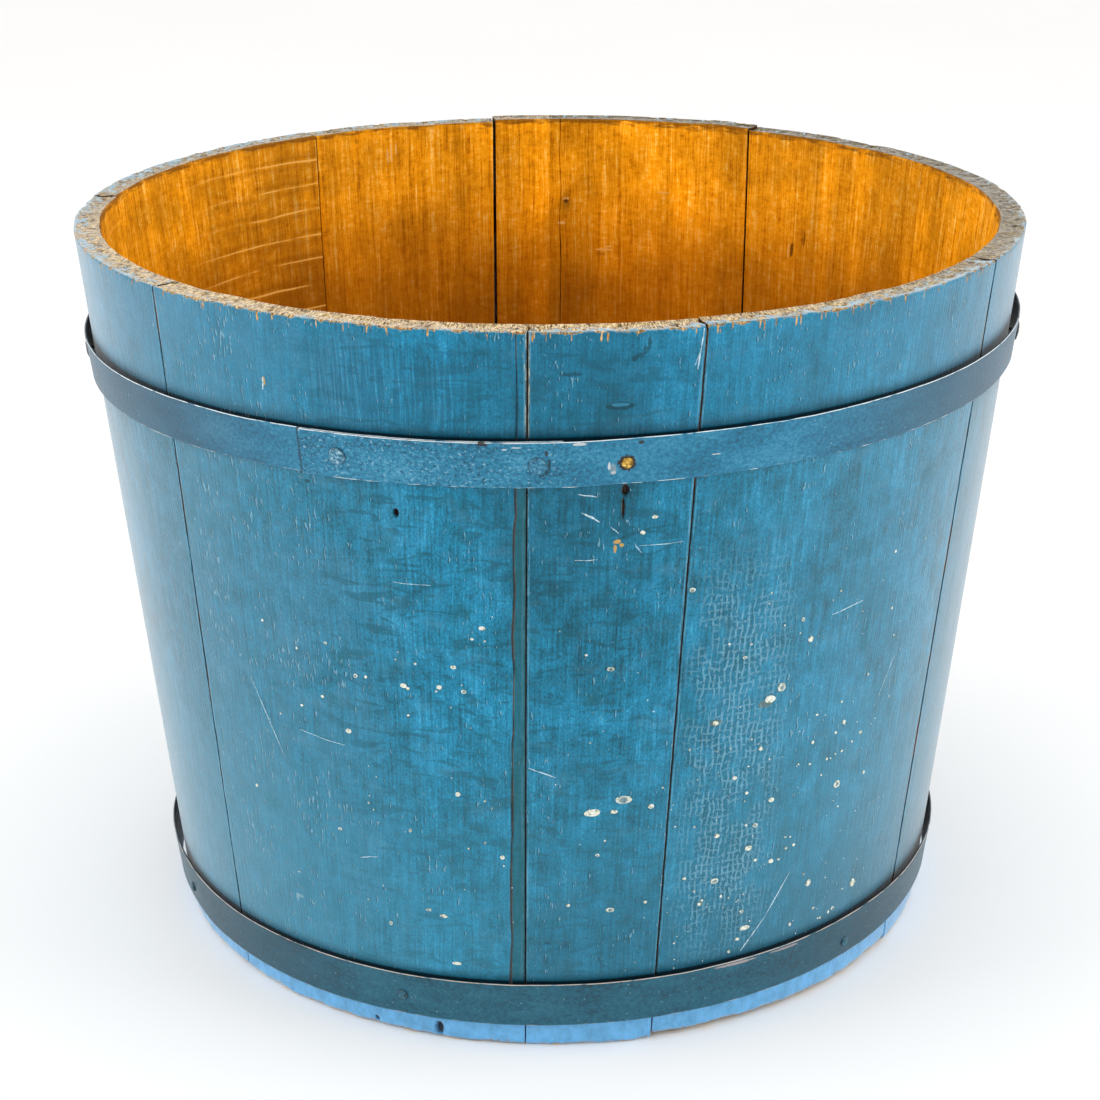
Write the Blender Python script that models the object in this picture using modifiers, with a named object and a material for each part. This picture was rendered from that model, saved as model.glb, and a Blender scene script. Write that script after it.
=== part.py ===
"""Staved wooden tub.

Ten tapered staves stand edge to edge in a ring that widens upwards. A croze, the groove
round their inside near the foot, holds a head of three boards joined by dowels. Two
strips of sheet iron, bent round the staves and riveted where their ends lap, are the
hoops that pull the staves together. Nails keep the hoops from slipping down the taper.

The origin is on the floor at the centre of the tub, and +Z is up. An azimuth is an angle
in degrees seen from above: 0 is the front (-Y), and it grows towards +X.
"""

import math
from collections import namedtuple

import bmesh
import bpy
from mathutils import Matrix, Vector

# Driving dimensions, in metres
HEIGHT = 0.3050
RIM_RADIUS = 0.1970  # outside, at the rim
FOOT_RADIUS = 0.1673  # outside, at the floor
WALL = 0.0113  # thickness of a stave
GAP = 0.0003  # left between pieces that touch
SPLAY = (RIM_RADIUS - FOOT_RADIUS) / HEIGHT

RIM_ROUND = 0.0012  # radius of the edges at a stave's upper end
FOOT_ROUND = 0.0030  # radius of the worn outer edge at its lower end
CROZE_HEIGHT = 0.0280  # middle of the groove that holds the head
CROZE_WIDTH = 0.0070
CROZE_DEPTH = 0.0040

HEAD_THICKNESS = 0.0110
HEAD_CHAMFER = 0.0140  # how far in from the croze the head is bevelled underneath
HEAD_RISE = 0.0015  # how far its middle stands above its tongue
HEAD_UPPER_CHAMFER = 0.0050
HEAD_TURN = 25.0  # azimuth that the boards run towards
DOWEL_RADIUS = 0.0035
DOWEL_LENGTH = 0.0500
DOWEL_OFFSET = 0.0700  # of each dowel from the middle of its joint

HOOP_THICKNESS = 0.0010
HOOP_FLARE = 0.0006  # how much further its upper edge stands off the staves than its lower
RIVET_HEAD_RADIUS = 0.0034
RIVET_HEAD_HEIGHT = 0.0016
RIVET_SHANK_RADIUS = 0.0016
NAIL_HEAD_RADIUS = 0.0022
BROAD_HEAD_RADIUS = 0.0042
NAIL_HEAD_HEIGHT = 0.0009
NAIL_SHANK_RADIUS = 0.0009
NAIL_DEPTH = 0.0058  # how far a nail goes into its stave

STAVE_STEP = 4.0  # degrees between the facets of a stave
HOOP_STEP = 4.0
ROUND_STEPS = 12  # facets round a rivet, a nail or a dowel
HEAD_STEPS = 72

# A joint between two staves: its azimuths at the rim and at the foot, and the width to
# which it has opened at the inner and at the outer face of the wall, in millimetres.
Joint = namedtuple("Joint", "rim foot inside outside")
JOINTS = (
    Joint(-48.0, -50.5, 0.3, 0.5),
    Joint(-2.3, -3.9, 0.3, 0.4),
    Joint(16.0, 13.5, 0.3, 0.5),
    Joint(59.5, 58.4, 0.4, 0.8),
    Joint(87.0, 86.0, 0.3, 0.3),
    Joint(115.0, 113.0, 0.5, 0.3),
    Joint(148.8, 145.0, 1.0, 0.4),
    Joint(188.4, 190.0, 1.5, 0.4),
    Joint(217.0, 220.5, 0.4, 0.3),
    Joint(264.1, 263.0, 0.5, 0.3),
)

# How far the stave after each joint stops short at the rim and at the foot, in
# millimetres. The tub stands on the three staves that reach the floor.
Ends = namedtuple("Ends", "rim foot")
STAVE_ENDS = (
    Ends(0.6, 0.4),
    Ends(0.8, 0.0),
    Ends(0.5, 2.0),
    Ends(0.3, 0.5),
    Ends(0.9, 0.8),
    Ends(1.1, 0.0),
    Ends(0.0, 0.6),
    Ends(0.9, 1.0),
    Ends(0.6, 0.0),
    Ends(0.7, 0.5),
)

# The boards of the head: where each begins and ends across it, in metres.
Board = namedtuple("Board", "name start end")
BOARDS = (
    Board("head_board_left", -0.170, -0.048),
    Board("head_board_middle", -0.048, 0.052),
    Board("head_board_right", 0.052, 0.170),
)

# A hoop: the height of its middle line, its width, how much higher that line is at the
# right (+X), and the azimuths of its inner and outer ends. Slack is where it stands off
# the staves between its nails: an azimuth, a spread in degrees and a distance.
Hoop = namedtuple("Hoop", "name middle width tilt inner_end outer_end slack")
Slack = namedtuple("Slack", "azimuth spread distance")
TOP_HOOP = Hoop(
    "top_hoop", 0.2555, 0.0175, 0.0034, 1.5, -27.6, (Slack(-72, 22, 0.0009), Slack(80, 26, 0.0013))
)
BOTTOM_HOOP = Hoop(
    "bottom_hoop", 0.0213, 0.0198, 0.0026, 190, 166, (Slack(-90, 16, 0.0020), Slack(72, 24, 0.0006))
)
LAP_CLIMB = 7.0  # degrees over which a hoop rises to lie on its own inner end

# Fasteners: a name, an azimuth and how far above the hoop's middle line each sits.
Fastener = namedtuple("Fastener", "name azimuth above")
TOP_RIVETS = (
    Fastener("top_hoop_rivet_outer", -23.0, 0.0),
    Fastener("top_hoop_rivet_inner", -1.4, 0.0),
)
BOTTOM_RIVETS = (
    Fastener("bottom_hoop_rivet_outer", 170.0, 0.0),
    Fastener("bottom_hoop_rivet_inner", 186.5, 0.0),
)
TOP_NAILS = (
    Fastener("top_hoop_broad_nail_left", -80.0, 0.0),
    Fastener("top_hoop_tack", 7.9, -0.0006),
    Fastener("top_hoop_broad_nail_right", 79.0, 0.0),
    Fastener("top_hoop_nail_rear", 165.0, 0.0),
)
BOTTOM_NAILS = (
    Fastener("bottom_hoop_nail_1", -67.0, -0.0022),
    Fastener("bottom_hoop_nail_2", -20.6, -0.0005),
    Fastener("bottom_hoop_nail_3", 45.0, -0.0030),
    Fastener("bottom_hoop_nail_4", 120.0, -0.0010),
    Fastener("bottom_hoop_nail_5", 205.0, 0.0),
)

# Colours are linear RGB.
STAVE_BLUE = (0.020, 0.160, 0.270)
HOOP_BLUE = (0.016, 0.130, 0.230)
BARE_PINE = (0.440, 0.200, 0.040)
BRASS = (0.500, 0.330, 0.100)


# --- the tub's own coordinates ------------------------------------------------------


def outer_radius(height):
    """Radius of the staves' outer face at a height."""
    return FOOT_RADIUS + SPLAY * height


def on_tub(azimuth, radius, height):
    """The point at an azimuth in degrees, a radius and a height."""
    turn = math.radians(azimuth)
    return Vector((radius * math.sin(turn), -radius * math.cos(turn), height))


def joint_azimuth(joint, height):
    """A joint's azimuth at a height: it runs straight from its foot to its rim."""
    return joint.foot + (joint.rim - joint.foot) * height / HEIGHT


def rounded_corner(across, up, radius, start, end):
    """Points of an arc between two directions in degrees, round a corner's centre."""
    turns = [math.radians(start + (end - start) * step / 2) for step in range(3)]
    return [(across + radius * math.cos(turn), up + radius * math.sin(turn)) for turn in turns]


# --- Blender helpers ----------------------------------------------------------------


def clear_scene():
    for obj in list(bpy.data.objects):
        bpy.data.objects.remove(obj, do_unlink=True)


def new_collection(name):
    collection = bpy.data.collections.new(name)
    bpy.context.scene.collection.children.link(collection)
    return collection


def new_material(name, colour, roughness, metallic):
    material = bpy.data.materials.new(name)
    material.use_nodes = True
    shader = material.node_tree.nodes["Principled BSDF"]
    shader.inputs["Base Color"].default_value = (*colour, 1.0)
    shader.inputs["Roughness"].default_value = roughness
    shader.inputs["Metallic"].default_value = metallic
    return material


def new_object(name, bm, collection, material=None):
    mesh = bpy.data.meshes.new(name)
    bmesh.ops.recalc_face_normals(bm, faces=bm.faces)
    bm.to_mesh(mesh)
    bm.free()
    obj = bpy.data.objects.new(name, mesh)
    collection.objects.link(obj)
    if material:
        mesh.materials.append(material)
    return obj


def make_cutter(obj):
    obj.hide_render = True
    obj.display_type = "WIRE"
    return obj


def cut(obj, cutter, operation="DIFFERENCE"):
    modifier = obj.modifiers.new("Cut by " + cutter.name, "BOOLEAN")
    modifier.operation = operation
    modifier.solver = "EXACT"
    modifier.object = cutter


def turned(name, outline, steps, collection, material=None):
    """A shape turned about its own Z axis from an outline of (radius, height) points."""
    bm = bmesh.new()
    points = [bm.verts.new((radius, 0.0, height)) for radius, height in outline]
    for upper, lower in zip(points, points[1:]):
        bm.edges.new((upper, lower))
    mesh = bpy.data.meshes.new(name)
    bm.to_mesh(mesh)
    bm.free()
    obj = bpy.data.objects.new(name, mesh)
    collection.objects.link(obj)
    if material:
        mesh.materials.append(material)
    screw = obj.modifiers.new("Turn", "SCREW")
    screw.steps = steps
    screw.render_steps = steps
    screw.use_merge_vertices = True
    screw.merge_threshold = 0.00001
    return obj


# --- staves -------------------------------------------------------------------------


def stave_outline(ends):
    """A stave's section as (depth behind its outer face, height), from foot to rim and back."""
    foot = ends.foot / 1000
    rim = HEIGHT - ends.rim / 1000
    groove_low = CROZE_HEIGHT - CROZE_WIDTH / 2
    groove_high = CROZE_HEIGHT + CROZE_WIDTH / 2
    groove_floor = WALL - CROZE_DEPTH
    outline = rounded_corner(FOOT_ROUND, foot + FOOT_ROUND, FOOT_ROUND, 270, 180)
    outline += rounded_corner(RIM_ROUND, rim - RIM_ROUND, RIM_ROUND, 180, 90)
    outline += rounded_corner(WALL - RIM_ROUND, rim - RIM_ROUND, RIM_ROUND, 90, 0)
    outline += [(WALL, groove_high), (groove_floor, groove_high)]
    outline += [(groove_floor, groove_low), (WALL, groove_low)]
    outline += rounded_corner(WALL - RIM_ROUND, foot + RIM_ROUND, RIM_ROUND, 0, -90)
    return outline


def joint_clearance(joint, depth, radius):
    """Half the width of an open joint, as an angle in degrees at a radius."""
    opening = joint.outside + (joint.inside - joint.outside) * depth / WALL
    return math.degrees(opening / 2000 / radius)


def make_stave(name, left, right, ends, collection, material):
    """A stave between two joints: its section swept round the tub, then fitted to them."""
    bm = bmesh.new()
    corners = [bm.verts.new((WALL - depth, 0.0, height)) for depth, height in stave_outline(ends)]
    section = bm.faces.new(corners)
    steps = math.ceil((right.rim - left.rim) / STAVE_STEP)
    bmesh.ops.translate(bm, verts=corners, vec=(1.0, 0.0, 0.0))
    bmesh.ops.spin(
        bm,
        geom=[section, *section.edges, *corners],
        cent=(0.0, 0.0, 0.0),
        axis=(0.0, 0.0, 1.0),
        angle=1.0,
        steps=steps,
        use_duplicate=False,
    )
    for vert in bm.verts:
        share = math.atan2(vert.co.y, vert.co.x)
        depth = 1.0 + WALL - math.hypot(vert.co.x, vert.co.y)
        height = vert.co.z
        radius = outer_radius(height) - depth
        start = joint_azimuth(left, height) + joint_clearance(left, depth, radius)
        end = joint_azimuth(right, height) - joint_clearance(right, depth, radius)
        vert.co = on_tub(start + (end - start) * share, radius, height)
    return new_object(name, bm, collection, material)


def make_staves(collection, material):
    staves = []
    count = len(JOINTS)
    for number, (left, ends) in enumerate(zip(JOINTS, STAVE_ENDS)):
        right = JOINTS[(number + 1) % count]
        if number + 1 == count:
            right = right._replace(rim=right.rim + 360, foot=right.foot + 360)
        staves.append(make_stave(f"stave_{number + 1:02d}", left, right, ends, collection, material))
    return staves


def stave_at(staves, azimuth, height):
    """The stave that covers an azimuth at a height."""
    for stave, left, right in zip(staves, JOINTS, (*JOINTS[1:], JOINTS[0])):
        width = (joint_azimuth(right, height) - joint_azimuth(left, height)) % 360
        if (azimuth - joint_azimuth(left, height)) % 360 < width:
            return stave
    raise ValueError(f"no stave at {azimuth}")


# --- head ---------------------------------------------------------------------------


def head_top():
    """Height of the head's upper face."""
    return CROZE_HEIGHT + CROZE_WIDTH / 2 - GAP + HEAD_RISE


def head_outline():
    """The head's section as (radius, height), from its upper centre out and back below."""
    half_tongue = CROZE_WIDTH / 2 - GAP
    upper = head_top()
    lower = upper - HEAD_THICKNESS
    lip = outer_radius(CROZE_HEIGHT - CROZE_WIDTH / 2) - WALL
    shoulder = lip - 2 * GAP
    edge = lip + CROZE_DEPTH - 2 * GAP
    return [
        (0.0, upper),
        (shoulder - HEAD_UPPER_CHAMFER, upper),
        (shoulder, CROZE_HEIGHT + half_tongue),
        (edge, CROZE_HEIGHT + half_tongue),
        (edge, CROZE_HEIGHT - half_tongue),
        (shoulder, CROZE_HEIGHT - half_tongue),
        (shoulder - HEAD_CHAMFER, lower),
        (0.0, lower),
    ]


def make_box(name, low, high, collection):
    bm = bmesh.new()
    bmesh.ops.create_cube(bm, size=1.0)
    size = Vector(high) - Vector(low)
    bmesh.ops.scale(bm, verts=bm.verts, vec=size)
    bmesh.ops.translate(bm, verts=bm.verts, vec=Vector(low) + size / 2)
    return new_object(name, bm, collection)


def make_cylinder(name, radius, low, high, collection, material=None):
    """A cylinder about its own Z axis between two heights."""
    bm = bmesh.new()
    bmesh.ops.create_cone(
        bm,
        cap_ends=True,
        segments=ROUND_STEPS,
        radius1=radius,
        radius2=radius,
        depth=high - low,
    )
    bmesh.ops.translate(bm, verts=bm.verts, vec=(0.0, 0.0, (low + high) / 2))
    return new_object(name, bm, collection, material)


def make_head(collection, cutters, pine, dowel_wood):
    """Three boards cut from one round head, and two dowels across each joint."""
    turn = Matrix.Rotation(math.radians(HEAD_TURN), 4, "Z")
    middle = head_top() - HEAD_THICKNESS / 2
    across = Matrix.Rotation(math.radians(90), 4, "Y")
    boards = []
    for board in BOARDS:
        disc = turned(board.name, head_outline(), HEAD_STEPS, collection, pine)
        disc.matrix_world = turn
        low = (board.start + GAP / 2, -RIM_RADIUS, 0.0)
        high = (board.end - GAP / 2, RIM_RADIUS, 2 * CROZE_HEIGHT)
        blank = make_cutter(make_box("cutter_" + board.name, low, high, cutters))
        blank.matrix_world = turn
        cut(disc, blank, "INTERSECT")
        boards.append(disc)
    for side, joint, pair in (("left", BOARDS[0].end, boards[:2]), ("right", BOARDS[1].end, boards[1:])):
        for place, offset in (("front", -DOWEL_OFFSET), ("rear", DOWEL_OFFSET)):
            name = f"head_dowel_{side}_{place}"
            lying = turn @ Matrix.Translation((joint, offset, middle)) @ across
            half = DOWEL_LENGTH / 2
            dowel = make_cylinder(name, DOWEL_RADIUS, -half, half, collection, dowel_wood)
            dowel.matrix_world = lying
            room = half + GAP
            bore = make_cylinder("cutter_" + name, DOWEL_RADIUS + GAP, -room, room, cutters)
            make_cutter(bore).matrix_world = lying
            for board in pair:
                cut(board, bore)


# --- hoops --------------------------------------------------------------------------


def hoop_height(hoop, azimuth):
    """Height of a hoop's middle line, which is driven on a little askew."""
    return hoop.middle + hoop.tilt * math.sin(math.radians(azimuth))


def hoop_stand_off(hoop, azimuth, above):
    """Distance from the staves to a hoop's inner face, at a height above its middle line."""
    total = GAP + HOOP_FLARE * (above / hoop.width + 0.5)
    for slack in hoop.slack:
        away = (azimuth - slack.azimuth + 180) % 360 - 180
        total += slack.distance * math.exp(-((away / slack.spread) ** 2))
    return total


def lap_lift(past_turn):
    """How far a hoop has risen to lie on its own inner end.

    past_turn is how far along the strip is past its first full turn, in degrees, and
    below zero before that.
    """
    climb = min(max(past_turn / LAP_CLIMB + 1, 0.0), 1.0)
    return climb * climb * (3 - 2 * climb) * (HOOP_THICKNESS + GAP)


def make_hoop(hoop, collection, material):
    """A flat strip bent round the staves, from its inner end round to its outer end."""
    lap = (hoop.inner_end - hoop.outer_end) % 360
    sweep = 360 + lap
    bm = bmesh.new()
    bmesh.ops.create_grid(bm, x_segments=math.ceil(sweep / HOOP_STEP), y_segments=1, size=0.5)
    for vert in bm.verts:
        along = (vert.co.x + 0.5) * sweep
        azimuth = hoop.inner_end - along
        above = vert.co.y * hoop.width
        height = hoop_height(hoop, azimuth) + above
        lift = hoop_stand_off(hoop, azimuth, above) + lap_lift(along - 360)
        vert.co = on_tub(azimuth, outer_radius(height) + lift, height)
    mesh = bpy.data.meshes.new(hoop.name)
    bm.to_mesh(mesh)
    bm.free()
    obj = bpy.data.objects.new(hoop.name, mesh)
    collection.objects.link(obj)
    mesh.materials.append(material)
    outward = on_tub(hoop.inner_end, 1.0, 0.0)
    faces_out = mesh.polygons[0].normal.dot(outward) > 0
    solidify = obj.modifiers.new("Sheet thickness", "SOLIDIFY")
    solidify.thickness = HOOP_THICKNESS
    solidify.offset = 1.0 if faces_out else -1.0
    solidify.use_flip_normals = not faces_out
    return obj


# --- rivets and nails ---------------------------------------------------------------


def fastener_place(hoop, fastener, layers):
    """The frame of a fastener: its origin on the hoop's outer face, its Z axis outwards."""
    height = hoop_height(hoop, fastener.azimuth) + fastener.above
    iron = layers * HOOP_THICKNESS + (layers - 1) * GAP
    lift = hoop_stand_off(hoop, fastener.azimuth, fastener.above) + iron
    origin = on_tub(fastener.azimuth, outer_radius(height) + lift, height)
    outward = on_tub(fastener.azimuth, 1.0, -SPLAY).normalized()
    return Matrix.Translation(origin) @ outward.to_track_quat("Z", "Y").to_matrix().to_4x4()


def domed_outline(head_radius, head_height, shank_radius, length, tip_radius):
    """A fastener's section as (radius, height): a domed head clear of the hoop, and a shank."""
    dome = []
    for step in range(4):
        turn = math.radians(90 - 30 * step)
        dome.append((head_radius * math.cos(turn), GAP + head_height * math.sin(turn)))
    dome[0] = (0.0, GAP + head_height)
    dome[-1] = (head_radius, GAP)
    return [*dome, (shank_radius, GAP), (shank_radius, -0.8 * length), (tip_radius, -length), (0.0, -length)]


def make_rivet(hoop, rivet, hoop_obj, collection, cutters, material):
    """A rivet through both layers of a hoop's lap, its tail hammered flush with the inner one."""
    length = 2 * HOOP_THICKNESS + GAP
    outline = domed_outline(
        RIVET_HEAD_RADIUS, RIVET_HEAD_HEIGHT, RIVET_SHANK_RADIUS, length, RIVET_SHANK_RADIUS
    )
    place = fastener_place(hoop, rivet, layers=2)
    turned(rivet.name, outline, ROUND_STEPS, collection, material).matrix_world = place
    bore = make_cylinder(
        "cutter_" + rivet.name, RIVET_SHANK_RADIUS + GAP, -2 * length, length, cutters
    )
    make_cutter(bore).matrix_world = place
    cut(hoop_obj, bore)


def make_nail(hoop, nail, hoop_obj, staves, collection, cutters, material):
    """A nail through a single layer of a hoop and into the stave behind it."""
    length = HOOP_THICKNESS + hoop_stand_off(hoop, nail.azimuth, nail.above) + NAIL_DEPTH
    head_radius = BROAD_HEAD_RADIUS if "broad" in nail.name else NAIL_HEAD_RADIUS
    outline = domed_outline(
        head_radius, NAIL_HEAD_HEIGHT, NAIL_SHANK_RADIUS, length, NAIL_SHANK_RADIUS / 3
    )
    place = fastener_place(hoop, nail, layers=1)
    turned(nail.name, outline, ROUND_STEPS, collection, material).matrix_world = place
    bore = make_cylinder(
        "cutter_" + nail.name, NAIL_SHANK_RADIUS + GAP, -length - GAP, length, cutters
    )
    make_cutter(bore).matrix_world = place
    cut(hoop_obj, bore)
    cut(stave_at(staves, nail.azimuth, hoop.middle), bore)


# --- the whole tub ------------------------------------------------------------------


def main():
    clear_scene()
    tub = new_collection("Staved_Tub")
    cutters = new_collection("Cutters")
    painted_wood = new_material("Painted stave", STAVE_BLUE, 0.45, 0.0)
    bare_pine = new_material("Bare pine", BARE_PINE, 0.60, 0.0)
    dowel_wood = new_material("Dowel wood", BARE_PINE, 0.55, 0.0)
    painted_iron = new_material("Painted hoop iron", HOOP_BLUE, 0.40, 0.2)
    fastener_iron = new_material("Painted rivet iron", HOOP_BLUE, 0.45, 0.4)
    brass = new_material("Worn brass", BRASS, 0.35, 1.0)

    staves = make_staves(tub, painted_wood)
    make_head(tub, cutters, bare_pine, dowel_wood)
    for hoop, rivets, nails in (
        (TOP_HOOP, TOP_RIVETS, TOP_NAILS),
        (BOTTOM_HOOP, BOTTOM_RIVETS, BOTTOM_NAILS),
    ):
        strip = make_hoop(hoop, tub, painted_iron)
        for rivet in rivets:
            make_rivet(hoop, rivet, strip, tub, cutters, fastener_iron)
        for nail in nails:
            metal = brass if nail.name.endswith("tack") else fastener_iron
            make_nail(hoop, nail, strip, staves, tub, cutters, metal)


main()
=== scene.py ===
"""Looks for a staved wooden tub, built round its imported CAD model.

The CAD part is the fixed frame: every detailed piece here takes its place from it. The
staves, hoops, rivets and nails are rebuilt with the wear that the real tub shows, and
the boards of the head and their dowels keep their CAD shape and get a wood material.

An azimuth is an angle in degrees seen from above: 0 is the front (-Y) and it grows
towards +X. Depth is how far a point is behind the staves' outer face. Metres throughout.
"""

import math
from collections import namedtuple

import bpy
import numpy as np
from mathutils import Matrix, Vector


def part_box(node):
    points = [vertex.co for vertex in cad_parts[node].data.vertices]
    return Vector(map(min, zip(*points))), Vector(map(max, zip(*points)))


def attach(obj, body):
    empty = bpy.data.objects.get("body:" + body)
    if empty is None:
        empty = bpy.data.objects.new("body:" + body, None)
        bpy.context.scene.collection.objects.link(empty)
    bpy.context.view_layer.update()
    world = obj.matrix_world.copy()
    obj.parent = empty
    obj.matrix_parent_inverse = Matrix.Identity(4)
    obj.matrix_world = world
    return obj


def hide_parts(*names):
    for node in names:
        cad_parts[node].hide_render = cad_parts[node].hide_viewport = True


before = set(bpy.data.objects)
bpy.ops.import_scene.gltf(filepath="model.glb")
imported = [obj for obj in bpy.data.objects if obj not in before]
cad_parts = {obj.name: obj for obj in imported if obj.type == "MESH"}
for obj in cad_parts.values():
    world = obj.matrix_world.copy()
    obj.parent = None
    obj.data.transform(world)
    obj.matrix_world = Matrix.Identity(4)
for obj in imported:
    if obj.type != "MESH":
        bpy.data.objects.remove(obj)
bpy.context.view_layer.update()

# The tub's own dimensions, as the CAD part has them
HEIGHT = 0.3050
RIM_RADIUS = 0.1970
FOOT_RADIUS = 0.1673
WALL = 0.0113
GAP = 0.0003
SPLAY = (RIM_RADIUS - FOOT_RADIUS) / HEIGHT
GROOVE_LOW = 0.0245
GROOVE_HIGH = 0.0315
GROOVE_DEPTH = 0.0040
HOOP_THICKNESS = 0.0010
HOOP_FLARE = 0.0006
LAP_CLIMB = 7.0
HEAD_TURN = 25.0

# The hoops, as in the CAD part
Slack = namedtuple("Slack", "azimuth spread distance")
Hoop = namedtuple("Hoop", "name middle width tilt inner_end outer_end slack")
HOOPS = (
    Hoop("top_hoop", 0.2555, 0.0175, 0.0034, 1.5, -27.6, (Slack(-72, 22, 0.0009), Slack(80, 26, 0.0013))),
    Hoop("bottom_hoop", 0.0213, 0.0198, 0.0026, 190, 166, (Slack(-90, 16, 0.0020), Slack(72, 24, 0.0006))),
)


# --- numbers and noise --------------------------------------------------------------


def outer_radius(height):
    return FOOT_RADIUS + SPLAY * height


def on_tub(azimuth, radius, height):
    """Points at azimuths, radii and heights, as rows of x, y, z."""
    turn = np.radians(azimuth)
    return np.stack(np.broadcast_arrays(radius * np.sin(turn), -radius * np.cos(turn), height), -1)


def whole_number_noise(cells, seed):
    """A repeatable value from 0 to 1 for each row of three whole numbers."""
    mixed = cells @ np.array([73856093, 19349663, 83492791]) + seed * 1274126177
    mixed = (mixed ^ (mixed >> 13)) * 60493 & 0x7FFFFFFF
    mixed = (mixed ^ (mixed >> 15)) * 48271 & 0x7FFFFFFF
    return (mixed & 0xFFFF) / 0xFFFF


def noise(size, seed, *coordinates):
    """Smooth noise from -1 to 1 at up to three coordinates, its features about size across."""
    points = np.stack(np.broadcast_arrays(*coordinates), -1) / np.asarray(size, float)
    shape = points.shape[:-1]
    points = points.reshape(-1, points.shape[-1])
    points = np.pad(points, ((0, 0), (0, 3 - points.shape[1])))
    cell = np.floor(points).astype(np.int64)
    part = points - cell
    ease = part * part * (3 - 2 * part)
    total = np.zeros(len(points))
    for corner in np.ndindex(2, 2, 2):
        weight = np.prod(np.where(corner, ease, 1 - ease), axis=1)
        total += weight * whole_number_noise(cell + corner, seed)
    return (2 * total - 1).reshape(shape)


def ramp(value, low, high):
    """A smooth step from 0 at low to 1 at high."""
    share = np.clip((value - low) / (high - low), 0, 1)
    return share * share * (3 - 2 * share)


def away_from(azimuth, other):
    """The signed angle from one azimuth to another, from -180 to 180."""
    return (azimuth - other + 180) % 360 - 180


# --- meshes -------------------------------------------------------------------------


def new_piece(name, points, faces, materials, sharp_angle=50.0, slots=None, **attributes):
    """A closed mesh that rides on the tub, with numbers on its points for its material."""
    mesh = bpy.data.meshes.new(name)
    mesh.from_pydata(points.tolist(), [], faces)
    for key, values in attributes.items():
        values = np.asarray(values, np.float32)
        if values.ndim == 2:
            mesh.attributes.new(key, "FLOAT_VECTOR", "POINT").data.foreach_set("vector", values.ravel())
        else:
            mesh.attributes.new(key, "FLOAT", "POINT").data.foreach_set("value", values)
    mesh.shade_smooth()
    mesh.set_sharp_from_angle(angle=math.radians(sharp_angle))
    for material in materials:
        mesh.materials.append(material)
    if slots is not None:
        mesh.polygons.foreach_set("material_index", np.asarray(slots, np.int32))
    mesh.update()
    piece = bpy.data.objects.new(name, mesh)
    bpy.context.scene.collection.objects.link(piece)
    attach(piece, "root")
    return piece


def swept_faces(columns, loop):
    """Quads round a tube whose sections are loops of points, one after another.

    They face outwards where the loops turn anticlockwise, seen from the far end of the tube.
    """
    faces = []
    for column in range(columns - 1):
        start = column * loop
        for point in range(loop):
            following = (point + 1) % loop
            faces.append(
                (start + point, start + following, start + loop + following, start + loop + point)
            )
    return faces


# --- material nodes -----------------------------------------------------------------


class Value:
    """A number, vector or colour inside a material. Sums and mixes of them add nodes."""

    def __init__(self, shader, socket):
        self.shader = shader
        self.socket = socket

    def math(self, operation, *others, clamp=False):
        inputs = dict(enumerate((self, *others)))
        return self.shader.made("Math", 0, inputs, operation=operation, use_clamp=clamp)

    def __add__(self, other):
        return self.math("ADD", other)

    def __sub__(self, other):
        return self.math("SUBTRACT", other)

    def __mul__(self, other):
        return self.math("MULTIPLY", other)

    def __abs__(self):
        return self.math("ABSOLUTE")

    def shifted(self, by):
        """The vector moved by a distance along each axis."""
        return self.shader.made("VectorMath", 0, {0: self, 1: by}, operation="ADD")

    def noise(self, size, detail=2.0, roughness=0.5, offset=0.0, distortion=0.0):
        """Noise from about 0.2 to 0.8 at a place, its features this size along each axis."""
        per_metre = [1 / length for length in size]
        inputs = {0: self, 1: per_metre, 2: (offset, offset, offset)}
        place = self.shader.made("VectorMath", 0, inputs, operation="MULTIPLY_ADD")
        inputs = {"Vector": place, "Scale": 1.0, "Detail": detail}
        inputs.update({"Roughness": roughness, "Distortion": distortion})
        return self.shader.made("TexNoise", "Fac", inputs)

    def step(self, low, high, start=0.0, end=1.0):
        """A smooth step of the number, from start at low to end at high."""
        inputs = {"Value": self, "From Min": low, "From Max": high, "To Min": start, "To Max": end}
        return self.shader.made("MapRange", "Result", inputs, interpolation_type="SMOOTHSTEP")

    def band(self, middle, half_width, soft):
        """1 within half_width of the middle, falling to 0 over soft."""
        return abs(self - middle).step(half_width, half_width + soft, 1.0, 0.0)

    def mix(self, share, other):
        return self.shader.mix(share, self, other)

    def colours(self, *stops):
        """A colour ramp of (position, colour) stops, read at the number."""
        ramped = self.shader.made("ValToRGB", "Color", {"Fac": self})
        elements = ramped.socket.node.color_ramp.elements
        while len(elements) < len(stops):
            elements.new(0.5)
        for element, (position, colour) in zip(elements, stops):
            element.position = position
            element.color = (*colour, 1.0)
        return ramped

    def brighten(self, factor):
        """The colour with its brightness times a factor that varies."""
        return self.shader.brighten(self, factor)

    def bump(self, distance):
        """Relief from a height of 0 to 1, distance metres from top to bottom."""
        return self.shader.made("Bump", "Normal", {"Distance": distance, "Height": self})

    def spots(self, place, ragged, spots):
        """The colour with spots painted at their places; ragged is noise for their outlines."""
        colour = self
        azimuth, height = place[:2]
        for spot in spots:
            degree = math.radians(1.0) * outer_radius(spot.height)
            aside = (azimuth - spot.azimuth) * (1000 * degree / spot.across)
            above = (height - spot.height) * (1000 / spot.along)
            span = aside * aside + above * above + ragged * 2.4
            colour = colour.mix(span.step(2.35, 1.95, 0.0, spot.share), spot.colour)
        return colour


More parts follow.
